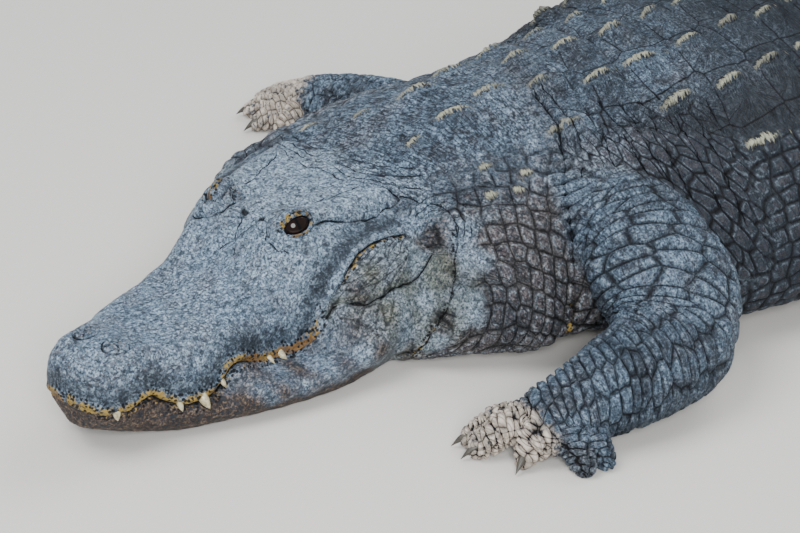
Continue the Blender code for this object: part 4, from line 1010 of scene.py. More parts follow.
def sockets(points, rise, marks):
    """Open the eye sockets, and raise the folds in front of them."""
    for side in (1.0, -1.0):
        face, level, upward, _ = eye_frame(side)
        offset = points - face
        near = np.flatnonzero(np.linalg.norm(offset, axis=1) < 0.06)
        u, v = offset[near] @ level, offset[near] @ upward
        ring = np.hypot(u / 0.0205, v / 0.0155)
        change = -0.016 * step_down(0.7, 0.98, ring)
        change += 0.002 * bell(ring, 0.25, 1.25)
        change -= 0.0014 * bell(ring, 0.1, 1.62) * (v < 0.004)
        front = np.hypot((u + 0.0275) / 0.005, (v + 0.006) / 0.0115)
        change += 0.0026 * np.exp(-front ** 2)
        rim = bell(front, 0.2, 1.35) * (u < -0.016) * (v < 0.008)
        change -= 0.0013 * rim
        gap = np.exp(-((u + 0.021) / 0.006) ** 2 - ((v + 0.0215) / 0.0022) ** 2)
        change -= 0.004 * gap
        rise[near] += change
        lines = np.maximum(0.55 * rim, gap)
        lines = np.maximum(lines, 0.35 * bell(ring, 0.08, 1.62) * (v < 0.004))
        mark_up(marks, "crease", lines, near)
        below = bell(ring, 0.22, 1.05) * step_down(-0.002, 0.004, v)
        patchy = patches(points[near], 0.01, 25, 0.5, 0.6, 0.0, 1.0)
        mark_up(marks, "ochre", 0.7 * below * patchy, near)
        mark_up(marks, "pebble", 0.7 * below, near)


HEAD_LUMPS = (
    ((0.326, -0.03), (0.023, 0.008), 0.25, -0.0065, 1.0),
    ((0.326, -0.014), (0.026, 0.005), 0.25, 0.003, 0.0),
    ((0.376, -0.012), (0.014, 0.008), 0.0, -0.002, 0.7),
    ((0.2825, -0.02), (0.013, 0.0045), 0.69, 0.005, 0.2),
    ((0.2745, 0.013), (0.007, 0.003), 0.35, -0.006, 0.9),
    ((0.3, 0.02), (0.02, 0.0055), 0.3, 0.003, 0.0),
    ((0.345, 0.022), (0.016, 0.01), 0.0, -0.0018, 0.3),
)
NOSTRIL_PLACE = (0.057, 0.0215)


def face_forms(spots, rise, marks):
    """Nostrils, and the pits and lumps of the brow."""
    top = step_up(0.0, 0.02, spots.up - curve(LIP_UP, spots.back) - 0.02) * (spots.past_head < 0.0)
    for (back, left), (long, wide), turn, height, rough in HEAD_LUMPS:
        u, v = spots.back - back, spots.left - left
        ring = np.hypot((u * math.cos(turn) + v * math.sin(turn)) / long,
                        (v * math.cos(turn) - u * math.sin(turn)) / wide)
        near = np.exp(-ring ** 2) * top
        rise += height * near
        mark_up(marks, "pebble", rough * near)
    back, left = NOSTRIL_PLACE
    for side in (1.0, -1.0):
        u, v = spots.back - back, spots.left - side * left
        ring = np.hypot(u / 0.015, v / 0.0125) + 0.07 * wobble(spots.points, 0.011, 31)
        disc = step_down(0.8, 1.1, ring)
        rise += top * 0.003 * disc
        thick = 0.07 + 0.05 * step_up(0.004, -0.01, u)
        rim = bell(ring, thick, 1.06) * patches(spots.points, 0.02, 33, 0.85, 0.4, 0.3, 1.0)
        rise -= top * 0.0022 * rim
        mark_up(marks, "pebble", 0.75 * top * disc)
        mark_up(marks, "crease", top * 0.85 * rim)
    snout = np.exp(-((spots.back - 0.105) / 0.022) ** 2 - (spots.left / 0.02) ** 2) * top
    rise -= 0.003 * snout
    mark_up(marks, "pebble", 0.3 * top * step_down(0.05, 0.12, spots.back))


def shades(spots, surface, marks):
    """Where sand lies on the hands, and where the jowl turns olive and gold."""
    place = np.stack((spots.back, np.abs(spots.left), spots.up), 1)
    hollow = np.linalg.norm((place - JOWL_HOLLOW) / JOWL_HOLLOW_HALF, axis=1)
    jowl = (spots.lip < 0.0) * step_up(0.29, 0.35, spots.back) * step_down(0.11, 0.135, spots.up) \
        * step_down(-0.01, 0.02, spots.past_head)
    patchy = patches(spots.points, 0.05, 12, 0.62, 0.4, 0.0, 1.0)
    marks["olive"][:] = np.maximum(step_down(0.6, 1.2, hollow), jowl * patchy)
    edge = surface.onto(spread(head_route(POUCH_EDGE), 20))
    mark_up(marks, "olive", 0.9 * stroke(spots.points, edge, 0.0065))
    rear = surface.onto(spread(head_route(JOWL_REAR), 30))
    gold = stroke(spots.points, rear, 0.0042) * (0.35 + 0.4 * step_up(0.1, 0.03, spots.up))
    armpit = stroke(spots.points, surface.onto(spread(ARMPIT, 8)), 0.006)
    mark_up(marks, "ochre", np.maximum(gold, armpit))
    clean = np.where(spots.limb == 0, step_up(0.402, 0.424, spots.points[:, 0]), 0.0)
    marks["sand"][:] = spots.hand * spots.limb_share * (1.0 - 0.9 * clean)


def keels(spots, rise, marks):
    """Raise a keel on each scute, and number the rows and columns of plates."""
    draw = random.Random(11)
    steps = np.arange(len(ROWS), dtype=float)
    pitch = ROWS[1] - ROWS[0]
    places = np.concatenate(([ROWS[0] - 6.0 * pitch], ROWS, [ROWS[-1] + pitch]))
    row = np.interp(spots.place, places, np.concatenate(([-6.0], steps, [len(ROWS)])))
    column = (spots.side - curve(MIDLINE, spots.place)) / curve(COLUMN_PITCH, spots.place) - 0.5
    rank = 3.0 * row - 2.6 * step_down(0.7, 0.8, spots.place)
    upper = spots.up > curve(BODY_WIDE, spots.place)
    bare = upper & (spots.past_head > 0.0)
    back = bare * step_down(0.2, 0.27, np.abs(spots.arc)) * step_up(0.69, 0.74, spots.place) \
        * step_down(1.95, 2.1, spots.place) * (1.0 - spots.limb_share)
    wander = row + 0.5 + 0.05 * wobble(spots.points, 0.1, 4)
    gap = np.abs(wander - np.round(wander)) * curve(ROW_PITCH, spots.place)
    groove = bell(gap, 0.0026) * back * patches(spots.points, 0.07, 6, 0.55, 0.6, 0.0, 1.0)
    rise -= 0.0034 * groove + 0.0016 * bell(gap, 0.01) * back
    mark_up(marks, "crease", 0.8 * groove)
    for place in ROWS[ROWS < KEELS_END]:
        columns = COLUMNS if place < TORSO_END else COLUMNS[2:4]
        limit = curve(COLUMN_LIMIT, place) * curve(BODY_HALF, place)
        near = np.flatnonzero((np.abs(spots.place - place) < 0.045) & bare & (spots.limb_share < 0.5))
        for number in columns:
            side = float(curve(MIDLINE, place)) + number * float(curve(COLUMN_PITCH, place))
            if abs(side) > limit:
                continue
            raise_keel(spots, near, place + draw.uniform(-0.004, 0.004), side + draw.uniform(-0.003, 0.003),
                       0.02 * draw.uniform(0.75, 1.2), 0.0115 * draw.uniform(0.7, 1.2),
                       draw.uniform(-0.15, 0.15), rise, marks)
    for place, side, half, high in NUCHALS:
        near = np.flatnonzero((np.abs(spots.place - place) < 0.05) & bare)
        raise_keel(spots, near, place, side, 0.95 * half, 0.8 * high, draw.uniform(-0.2, 0.2), rise, marks)
    return row, column, rank


def raise_keel(spots, near, place, side, long, high, skew, rise, marks):
    """Raise one keel, highest behind its middle and sharp along its ridge, on a low swelling."""
    u = spots.place[near] - place
    v = spots.side[near] - side - skew * u
    body = step_up(-1.25, 0.1, u / long) * step_down(0.45, 1.15, u / long)
    ridge = np.exp(-np.abs(v) / 0.005) ** 1.2
    swell = np.exp(-(u / (1.05 * long)) ** 2 - (v / (0.7 * long)) ** 2)
    rise[near] += high * (0.62 * body * ridge + 0.55 * swell)
    force = step_down(1.2, 1.9, np.hypot(u, v) / long)
    stronger = force > marks["keel"][near, 2]
    marks["keel"][near[stronger]] = np.stack((u / long, v, force), 1)[stronger]


def clamp_floor(data):
    """Keep the hide from reaching below the floor."""
    points = read_points(data)
    points[:, 2] = np.maximum(points[:, 2], 0.0)
    write_points(data, points)


class Value:
    """A socket that carries one number, with arithmetic that adds Math nodes."""

    def __init__(self, craft, socket):
        self.craft = craft
        self.socket = socket

    def math(self, operation, *others):
        """A Math node on this value."""
        inputs = dict(enumerate((self, *others)))
        return self.craft.add("ShaderNodeMath", {"operation": operation}, inputs)

    def __add__(self, other):
        return self.math("ADD", other)

    __radd__ = __add__

    def __sub__(self, other):
        return self.math("SUBTRACT", other)

    def __rsub__(self, other):
        return self.craft.add("ShaderNodeMath", {"operation": "SUBTRACT"}, {0: other, 1: self})

    def __mul__(self, other):
        return self.math("MULTIPLY", other)

    __rmul__ = __mul__

    def __truediv__(self, other):
        return self.math("DIVIDE", other)

    def __pow__(self, other):
        return self.math("POWER", other)

    def __neg__(self):
        return self * -1.0

    def least(self, other):
        """The lower one of two values."""
        return self.math("MINIMUM", other)

    def most(self, other):
        """The higher one of two values."""
        return self.math("MAXIMUM", other)

    def size(self):
        """The value without its sign."""
        return self.math("ABSOLUTE")

    def step(self, low, high, start=0.0, end=1.0):
        """A smooth step from start at low to end at high."""
        return self.craft.add("ShaderNodeMapRange", {"interpolation_type": "SMOOTHSTEP"},
                              {"Value": self, "From Min": low, "From Max": high,
                               "To Min": start, "To Max": end})

    def fall(self, low, high):
        """A smooth step from 1 at low to 0 at high."""
        return 1.0 - self.step(low, high)


class Craft:
    """Adds nodes to a material's tree or to a relief tree, which share their patterns."""

    def __init__(self, tree):
        self.tree = tree
        self.relief = tree.bl_idname == "GeometryNodeTree"

    def add(self, kind, settings=None, inputs=None, output=0):
        """A node of a kind: its settings first, then the values or links of its sockets."""
        node = self.tree.nodes.new(kind)
        for name, value in (settings or {}).items():
            setattr(node, name, value)
        self.feed(node, inputs or {})
        return Value(self, node.outputs[output])

    def feed(self, node, inputs):
        """Link or set the sockets of a node."""
        for name, value in inputs.items():
            if isinstance(value, Value):
                self.tree.links.new(value.socket, node.inputs[name])
            else:
                node.inputs[name].default_value = value

    def vector_math(self, operation, *vectors, **sockets):
        """A Vector Math node on some vectors, and on the sockets that it names."""
        inputs = {**dict(enumerate(vectors)), **sockets}
        return self.add("ShaderNodeVectorMath", {"operation": operation}, inputs)

    def field(self, name, vector=False):
        """A number or a vector that the mesh keeps under a name."""
        if self.relief:
            kind = "FLOAT_VECTOR" if vector else "FLOAT"
            return self.add("GeometryNodeInputNamedAttribute", {"data_type": kind}, {"Name": name})
        output = "Vector" if vector else "Fac"
        return self.add("ShaderNodeAttribute", {"attribute_name": name}, output=output)

    def place(self):
        """The point's own place."""
        if self.relief:
            return self.add("GeometryNodeInputPosition")
        return self.add("ShaderNodeTexCoord", output="Object")

    def parts(self, vector):
        """The three numbers of a vector."""
        first = self.add("ShaderNodeSeparateXYZ", None, {0: vector})
        outputs = first.socket.node.outputs
        return tuple(Value(self, socket) for socket in outputs)

    def vector(self, x=0.0, y=0.0, z=0.0):
        """A vector of three numbers."""
        return self.add("ShaderNodeCombineXYZ", None, {"X": x, "Y": y, "Z": z})

    def noise(self, spot, scale, detail=2.0, roughness=0.5):
        """Soft noise between 0 and 1."""
        return self.add("ShaderNodeTexNoise", {"noise_dimensions": "3D"},
                        {"Vector": spot, "Scale": scale, "Detail": detail, "Roughness": roughness}, "Fac")

    def mix(self, share, first, second):
        """A colour between two colours, each a value or three numbers."""
        first, second = (item if isinstance(item, Value) else (*item, 1.0) for item in (first, second))
        return self.add("ShaderNodeMix", {"data_type": "RGBA"}, {0: share, 6: first, 7: second}, 2)

    def shifted(self, spot, scale, amount):
        """A place pushed about by noise, so that rows aren't ruled."""
        wander = self.add("ShaderNodeTexNoise", {"noise_dimensions": "3D"},
                          {"Vector": spot, "Scale": scale, "Detail": 1.0}, "Color")
        middle = self.vector_math("SUBTRACT", wander, (0.5, 0.5, 0.5))
        push = self.vector_math("SCALE", middle, Scale=amount)
        return self.vector_math("ADD", spot, push)

    def cells(self, x, y, jitter, wander=0.25):
        """Scales one unit wide: how far the nearest crease is, a number for each, and the way and
        distance from its middle."""
        spot = self.shifted(self.vector(x, y), 0.9, wander)
        inputs = {"Vector": spot, "Scale": 1.0, "Randomness": jitter}
        edge = self.add("ShaderNodeTexVoronoi", {"voronoi_dimensions": "2D", "feature": "DISTANCE_TO_EDGE"},
                        inputs, "Distance")
        middle = self.add("ShaderNodeTexVoronoi", {"voronoi_dimensions": "2D", "feature": "F1"},
                          inputs, "Color")
        node = middle.socket.node
        tint = self.parts(middle)[0]
        gap = self.vector_math("SUBTRACT", spot, Value(self, node.outputs["Position"]))
        way = self.vector_math("NORMALIZE", gap)
        return edge, tint, way, Value(self, node.outputs["Distance"])

    def bump(self, strength, height, distance):
        """A normal bent by a height."""
        inputs = {"Strength": strength, "Distance": distance, "Height": height}
        return self.add("ShaderNodeBump", None, inputs, "Normal")

    def lines(self, spot, scale, width, detail=2.0):
        """Fine wrinkles: 1 along the level lines of a noise, fading over a width."""
        wave = self.noise(spot, scale, detail, 0.55)
        return (wave - 0.5).size().fall(0.0, width)

    def grains(self, spot, scale):
        """Round grains: 0 in the middle of each and 1 between them."""
        return self.add("ShaderNodeTexVoronoi", {"voronoi_dimensions": "3D", "feature": "F1"},
                        {"Vector": spot, "Scale": scale, "Randomness": 1.0}, "Distance")


def hide_pattern(craft):
    """The scales of the whole hide: relief, creases, a tint for each scale and where each kind lies."""
    along, around, _ = craft.parts(craft.field("lie", True))
    row, column, rank = craft.parts(craft.field("plate", True))
    limb_along, limb_round, limb = craft.parts(craft.field("limb_lie", True))
    pouch_along, pouch_across, pouch = craft.parts(craft.field("pouch", True))
    head, _, _ = craft.parts(craft.field("face", True))
    arc = around.size()
    girth = along.step(0.72, 0.92, 0.15, 0.24)
    back = along.step(0.66, 0.7) * along.fall(1.98, 2.06) * (1.0 - (arc / girth).step(0.88, 1.04))
    crown = along.fall(0.66, 0.7) * arc.fall(0.085, 0.15)
    tail = along.step(1.72, 1.84)
    neck = 1.0 - along.step(0.66, 0.74)
    pleat = along.step(0.66, 0.71) * along.fall(0.82, 0.9) * arc.step(0.1, 0.14) \
        * arc.fall(0.34, 0.42)
    flank = (1.0 - tail) * (1.0 - neck) * (1.0 - back)
    loose = craft.noise(craft.vector(along * 14.0, around * 14.0), 1.0, 1.0)
    # Where each kind lies, its places along and around, jitter, rise, width of its creases, corners
    kinds = (
        (neck * (1.0 - back) * (1.0 - crown * 0.75), along * 34.0 + around * 15.0,
         around * 36.0 - along * 12.0, 0.42, 0.0038, 0.12, 0.48),
        (flank * (1.0 - pleat * 0.85), rank, around * 50.0, 0.36, 0.0036, 0.15, 0.5),
        (pleat, along * 100.0 - around * 42.0, around * 20.0 + along * 30.0, 0.7, 0.0024, 0.12, 2.0),
        (tail * (1.0 - back), row, around * 42.0, 0.28, 0.0022, 0.05, 0.55),
        (back, row - 0.1, column - 0.1, 0.22, 0.0014, 0.028, 2.0),
    )
    parts = []
    for share, x, y, jitter, rise, width, corner in kinds:
        edge, tint, way, far = craft.cells(x, y, jitter)
        share = share * (1.0 - limb) * (1.0 - head)
        dome = edge.step(0.0, 0.32).least(1.0 - far.step(corner * 0.4, corner + 0.14))
        line = edge.fall(0.0, loose * width * 2.2).most(far.step(corner + 0.02, corner + 0.14) * 0.65)
        parts.append((share * dome * rise, share * line, share * tint, share * dome))
        spokes = (way, far, tint)
    lengthwise = (limb_along + limb_round * 0.34) * 54.0 + limb_along.least(0.13) * 56.0 \
        + (limb_along - 0.24).most(0.0) * 34.0
    edge, tint, _, _ = craft.cells(lengthwise, limb_round * 26.0, 0.55, 0.2)
    limb = limb * (1.0 - head)
    # Limb scales: beside the crisp crease, a soft dark band along each crease is painted shade
    parts.append((limb * edge.step(0.0, 0.24) * 0.0052,
                  limb * edge.fall(0.0, loose * 0.26).most(edge.fall(0.0, 0.24) * 0.7),
                  limb * tint, limb * edge.step(0.0, 0.26)))
    edge, tint, _, _ = craft.cells(pouch_along * 36.0, pouch_across * 210.0 + pouch_along * 16.0, 0.95, 0.6)
    parts.append((pouch * edge.step(0.0, 0.3) * 0.0014, pouch * (0.7 - edge.step(0.0, 0.14) * 0.7),
                  pouch * tint, pouch * edge.step(0.0, 0.3)))
    rise, lines, tints, domes = (sum(items[1:], items[0]) for items in zip(*parts))
    return {"rise": rise, "line": lines, "tint": tints, "dome": domes, "head": head, "limb": limb,
            "along": along, "around": around, "back": back, "neck": neck, "tail": tail, "spokes": spokes,
            "arc": arc, "crown": crown, "pouch": pouch, "limb_round": limb_round}


def relief_tree(share):
    """A geometry node tree that lifts the hide by its scales."""
    tree = bpy.data.node_groups.new("hide_relief", "GeometryNodeTree")
    tree.interface.new_socket("Geometry", in_out="INPUT", socket_type="NodeSocketGeometry")
    tree.interface.new_socket("Geometry", in_out="OUTPUT", socket_type="NodeSocketGeometry")
    craft = Craft(tree)
    pattern = hide_pattern(craft)
    ahead, aside, keel = craft.parts(craft.field("keel", True))
    spot = craft.place()
    crest = keel.step(0.2, 0.6) * ahead.size().fall(0.7, 1.1) * aside.size().fall(0.002, 0.008)
    ragged = (craft.noise(spot, 230.0, 2.0, 0.6) - 0.5) * crest * 0.007
    pebble = craft.parts(craft.field("marks", True))[2]
    grains = (0.5 - craft.grains(spot, 150.0)) * pebble * 0.0034
    uneven = (craft.noise(spot, 34.0, 3.0, 0.6) - 0.5) * 0.004
    entry = tree.nodes.new("NodeGroupInput")
    leave = tree.nodes.new("NodeGroupOutput")
    normal = craft.add("GeometryNodeInputNormal")
    lift = (pattern["rise"] + ragged + grains + uneven) * share
    push = craft.vector_math("SCALE", normal, Scale=lift)
    place = tree.nodes.new("GeometryNodeSetPosition")
    tree.links.new(entry.outputs[0], place.inputs["Geometry"])
    tree.links.new(push.socket, place.inputs["Offset"])
    tree.links.new(place.outputs[0], leave.inputs[0])
    return tree


def new_material(name):
    """An empty material with a Principled shader, and a craft that adds to it."""
    material = bpy.data.materials.new(name)
    material.use_nodes = True
    shader = material.node_tree.nodes["Principled BSDF"]
    return material, shader, Craft(material.node_tree)


# Scales of the hide's noises, from broad clouds to the finest specks
BROAD_SCALE = 13.0
PATCH_SCALE = 38.0
MOTTLE_SCALE = 150.0
GRAIN_SCALE = 380.0
FINE_SCALE = 950.0


def hide_material(sizes):
    """Slate hide with dark creases, pale keels, ochre lips and sandy feet; painted shade darkens the trunk,
    the lower sides of body and limbs, the keels' sides, the limbs' creases and the line between the lips,
    and partly painted light brightens the back of the head.
    """
    material, shader, craft = new_material("alligator_hide")
    pattern = hide_pattern(craft)
    spot = craft.place()
    line, tint, dome, head, limb = (pattern[name] for name in ("line", "tint", "dome", "head", "limb"))
    along, around, arc, back = (pattern[name] for name in ("along", "around", "arc", "back"))
    ahead, aside, keel = craft.parts(craft.field("keel", True))
    crease, ochre, pebble = craft.parts(craft.field("marks", True))
    gaps = craft.parts(craft.field("fold_gap", True))
    forces = craft.parts(craft.field("fold_force", True))
    folds = [gap.size().fall(0.15, 1.15) * force.step(0.22, 0.6) for gap, force in zip(gaps, forces)]
    folds = folds[0].most(folds[1]).most(folds[2])
    brown, sand, olive = craft.parts(craft.field("tone", True))
    _, lip, mouth = craft.parts(craft.field("face", True))
    rest = (1.0 - head) * (1.0 - limb)
    broad = craft.noise(spot, BROAD_SCALE, 3.0)
    patch = craft.noise(spot, PATCH_SCALE, 4.0, 0.65)
    mottle = craft.noise(spot, MOTTLE_SCALE, 3.0, 0.65)
    grain = craft.noise(spot, GRAIN_SCALE, 3.0, 0.65)
    fine = craft.noise(spot, FINE_SCALE, 2.0, 0.6)
    scratch = craft.lines(spot, 190.0, 0.045, 3.0)
    nape = (1.0 - head).most(along.step(0.452, 0.47))
    flow = craft.vector(along * 170.0 - around * 40.0, around * 48.0 + along * 24.0, broad * 2.0)
    wrinkle = craft.lines(flow, 1.0, 0.075, 3.0) * nape
    slant = craft.vector((around - along * 0.62) * 58.0, along * 11.0, broad)
    slant = craft.lines(slant, 1.0, 0.03, 2.0) * pattern["neck"] * rest * (1.0 - pattern["crown"]) * 0.8
    way, far, number = pattern["spokes"]
    spoke = craft.vector(far * 2.4, number * 17.0, far)
    spoke = craft.vector_math("MULTIPLY_ADD", way, (6.0, 6.0, 6.0), spoke)
    fibre = craft.lines(craft.vector(ahead * 5.0, aside * 70.0, aside * ahead * 60.0), 1.0, 0.09, 3.0)
    rays = (craft.lines(spoke, 1.0, 0.09, 3.0) * (1.0 - keel) + fibre * keel) * back * rest
    # Broad colour of each part of the animal
    blue = head.most(limb).most(arc.fall(0.11, 0.22) * 0.85)
    skin = craft.mix((blue * 0.8 + broad.step(0.35, 0.65) * 0.3).least(1.0), sizes.brown, sizes.slate)
    skin = craft.mix(patch.step(0.48, 0.62) * 0.45, skin, sizes.violet)
    trunk = along.step(0.76, 1.05) * rest
    low = arc.step(0.11, 0.2) * along.step(0.68, 0.8) * rest
    # Lower sides of the limbs, where painted shade goes
    under = limb * pattern["limb_round"].size().step(0.05, 0.13)
    # Darker trunk, lower sides and limb undersides: painted shade on the limbs, and on the trunk partly
    # darker hide, partly painted shade
    skin = craft.mix((trunk * 0.8).most(low * 0.88).most(under * 0.62), skin, sizes.dark)
    # Pale dust over the head, thicker towards its back: partly real dust, partly painted light on the cheek
    # and temple
    skin = craft.mix(head * (1.0 - brown) * along.step(0.2, 0.33, 0.06, 0.32), skin, sizes.dust)
    above = lip.step(0.004, 0.016) * lip.fall(0.02, 0.048) * mouth
    skin = craft.mix((above * (patch * 1.9 - 0.1)).least(0.95), skin, sizes.shade)
    skin = craft.mix(tint * (1.0 - head) * 0.5, skin, sizes.dark)
    core = dome.step(0.82, 1.0) * (1.0 - back) * rest
    skin = craft.mix(core * 0.45, skin, sizes.violet)
    ring = dome.step(0.3, 0.55) * dome.fall(0.66, 0.9) * (1.0 - back)
    skin = craft.mix(ring * mottle.step(0.4, 0.6) * 0.45, skin, sizes.dust)
    skin = craft.mix(pattern["pouch"] * 0.45, skin, sizes.brown)
    skin = craft.mix(olive * 0.6, skin, sizes.olive)
    cloud = (broad + patch * 0.7).step(0.86, 0.98) * (1.0 - pattern["pouch"])
    skin = craft.mix(cloud * (0.48 - head * 0.36), skin, sizes.dark)
    skin = craft.mix((brown * (0.5 + patch)).least(0.95), skin, sizes.jaw)
    # Fine speckle, scratches and dust
    pale = mottle.step(0.47, 0.66) * 0.5 + grain.step(0.49, 0.66) * 0.55 + fine.step(0.52, 0.7) * 0.25
    pale = pale.least(1.0)
    # Fewer pale specks where the trunk and its lower sides carry painted shade
    pale = pale * (1.0 - trunk * 0.72) * (1.0 - low * 0.66) * (1.0 - cloud * 0.45) * (1.0 - above * 0.65)
    pale = pale * (1.0 - olive * 0.35)
    drab = (brown * 1.2).most(pattern["neck"] * (1.0 - pattern["crown"]) * rest * 0.6).most(olive * 0.6)
    dust = craft.mix(drab.most(low * 0.4).least(1.0), sizes.dust, sizes.tan)
    skin = craft.mix(pale * (head * 0.4 + 0.56 - limb * 0.06) * (1.0 - brown * 0.15), skin, dust)
    deep = (grain.fall(0.36, 0.5) * 0.85).most(mottle.fall(0.35, 0.47) * 0.85)
    skin = craft.mix(deep.most(scratch * 0.6), skin, sizes.shade)
    # More of the same darkening: painted shade on the limbs' lower sides, and on the trunk partly darker
    # hide, partly painted shade
    skin = craft.mix((trunk * 0.42).most(low * 0.5).most(under * 0.5), skin, sizes.shade)
    # Keels: ragged pale tufts, with painted shade beside them
    off = aside.size() + (grain - 0.5) * 0.004
    reach = keel.step(0.2, 0.6) * (1.0 - (ahead.size() + (mottle - 0.5) * 0.9).step(0.65, 1.05))
    # Painted shade beside the keels, in the crease colour
    keel_shade = reach * off.fall(0.004, 0.0095) * mottle.step(0.44, 0.56)
    skin = craft.mix(keel_shade * 0.85, skin, sizes.crease)
    tuft = craft.noise(craft.vector(ahead * 9.0, aside * 90.0, ahead), 1.0, 3.0, 0.6)
    tuft = (tuft * 1.3 + grain * 0.5 - 0.22 - off * 55.0).step(0.46, 0.66) * reach
    skin = craft.mix(tuft * broad.step(0.38, 0.58, 0.45, 0.9), skin, sizes.keel)
    cake = (mottle + patch - 1.0 + sand * 0.42).step(0.14, 0.4) * sand
    skin = craft.mix(cake, skin, sizes.sand)
    speck = (grain * 0.5 + mottle * 0.5 + (ochre - 1.0) * 0.34).step(0.4, 0.49)
    lips = craft.mix(broad.step(0.46, 0.6) * (1.0 - pattern["pouch"]), sizes.ochre, sizes.rust)
    skin = craft.mix(speck * ochre.step(0.02, 0.3), skin, lips)
    cell = craft.grains(spot, 230.0)
    dots = ochre.step(0.03, 0.35) * (1.0 - (cell + (mottle - 0.5) * 0.7).step(0.33, 0.48)) * 0.92
    skin = craft.mix(pebble * cell.fall(0.2, 0.44) * 0.5, skin, sizes.tan)
    skin = craft.mix(dots.most(pebble * cell.step(0.44, 0.62) * 0.6), skin, sizes.crease)
    # The line between the lips is painted dark, as shade in the groove there
    gap = lip.size().fall(0.0007, 0.0022) * mouth
    clear = 1.0 - keel.step(0.3, 0.8) * ahead.size().fall(0.8, 1.2) * aside.size().fall(0.006, 0.012)
    share = pattern["crown"] * 0.55 + limb * 0.25 + 0.22
    marking = (wrinkle * share).most(rays * 0.6).most(slant * 0.8) * clear
    dark = (line * clear * 0.95).most(crease.step(0.22, 0.75)).most(gap).most(marking).most(folds)
    skin = craft.mix(dark * 0.95, skin, sizes.crease)
    rough = 0.4 + dark * 0.3 + pale * 0.16 + sand * 0.25 - limb * 0.06
    height = (grain * 0.65 - wrinkle * 0.5 - rays * 0.5 - scratch * head * 0.45 + fine * 0.22 + mottle * 1.0
              - cell * pebble * 1.4 - folds * 1.2 - slant * 0.8 + tuft * 0.8)
    craft.feed(shader, {"Base Color": skin, "Roughness": rough, "Specular IOR Level": 0.08,
                        "Normal": craft.bump(0.9, height, 0.002)})
    return material


# Name, replaced nodes and slot of each piece of the skin, in the order of their regions
PIECES = (
    ("hide_snout", (), "hide_head"),
    ("hide_head", ("head", "lower_jaw"), "hide_head"),
    ("hide_neck", ("neck",), "hide_neck"),
    ("hide_chest", ("torso_front",), "hide_body"),
    ("hide_ribs", (), "hide_body"),
    ("hide_belly", (), "hide_body"),
    ("hide_loins", ("torso_rear",), "hide_body"),
    ("hide_tail_base", ("tail_base",), "hide_tail"),
    ("hide_tail_end", ("tail_middle", "tail_tip"), "hide_tail"),
    ("hide_arm_L", ("upper_arm_L", "forearm_L", "hand_L"), "hide_limb"),
    ("hide_arm_R", ("upper_arm_R", "forearm_R", "hand_R"), "hide_limb"),
    ("hide_leg_L", ("thigh_L", "shin_L", "foot_L"), "hide_limb"),
    ("hide_leg_R", ("thigh_R", "shin_R", "foot_R"), "hide_limb"),
)
SNOUT_END = 0.2
PART_PLACES = (NECK_END, 0.92, 1.16, 1.4, TORSO_END, 2.25)


def split_skin(thing, spots, material):
    """Part the skin into pieces that share their rims and their shading."""
    data = thing.data
    write_field(data, "true_normal", read_points(data, True))
    trunk = 2 + np.searchsorted(PART_PLACES, spots.place)
    region = np.where(spots.past_head < 0.0, spots.back > SNOUT_END, trunk)
    on_limb = (spots.limb_share > 0.5) & (spots.past_head > 0.0)
    region = np.where(on_limb, len(PART_PLACES) + 3 + spots.limb, region)
    corners = np.empty(len(data.loops), np.int32)
    data.loops.foreach_get("vertex_index", corners)
    starts = np.empty(len(data.polygons), np.int32)
    data.polygons.foreach_get("loop_start", starts)
    data.materials.clear()
    marks = {}
    for name, _, _ in PIECES:
        mark = bpy.data.materials.new("mark")
        marks[mark.name] = name
        data.materials.append(mark)
    data.polygons.foreach_set("material_index", region[corners[starts]].astype(np.int32))
    for item in bpy.context.view_layer.objects:
        item.select_set(item == thing)
    bpy.context.view_layer.objects.active = thing
    bpy.ops.object.mode_set(mode="EDIT")
    bpy.ops.mesh.select_all(action="SELECT")
    bpy.ops.mesh.separate(type="MATERIAL")
    bpy.ops.object.mode_set(mode="OBJECT")
    named = {}
    for item in bpy.context.selected_objects:
        mark = item.data.materials[item.data.polygons[0].material_index]
        named[marks[mark.name]] = item
    for name, nodes, slot in PIECES:
        item = named[name]
        item.name = item.data.name = name + "_skin"
        item.data.materials.clear()
        item.data.materials.append(material)
        item.data.polygons.foreach_set("material_index", np.zeros(len(item.data.polygons), np.int32))
        item.data.shade_smooth()
        normals = np.empty(len(item.data.vertices) * 3, np.float32)
        item.data.attributes["true_normal"].data.foreach_get("vector", normals)
        item.data.normals_split_custom_set_from_vertices(normals.reshape(-1, 3))
        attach(item, "root")
        if nodes:
            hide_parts(*nodes)
    for mark in marks:
        bpy.data.materials.remove(bpy.data.materials[mark])


def color_property(name, description, default):
    """A colour that the user can change."""
    return FloatVectorProperty(name=name, description=description, subtype="COLOR", size=3, default=default)


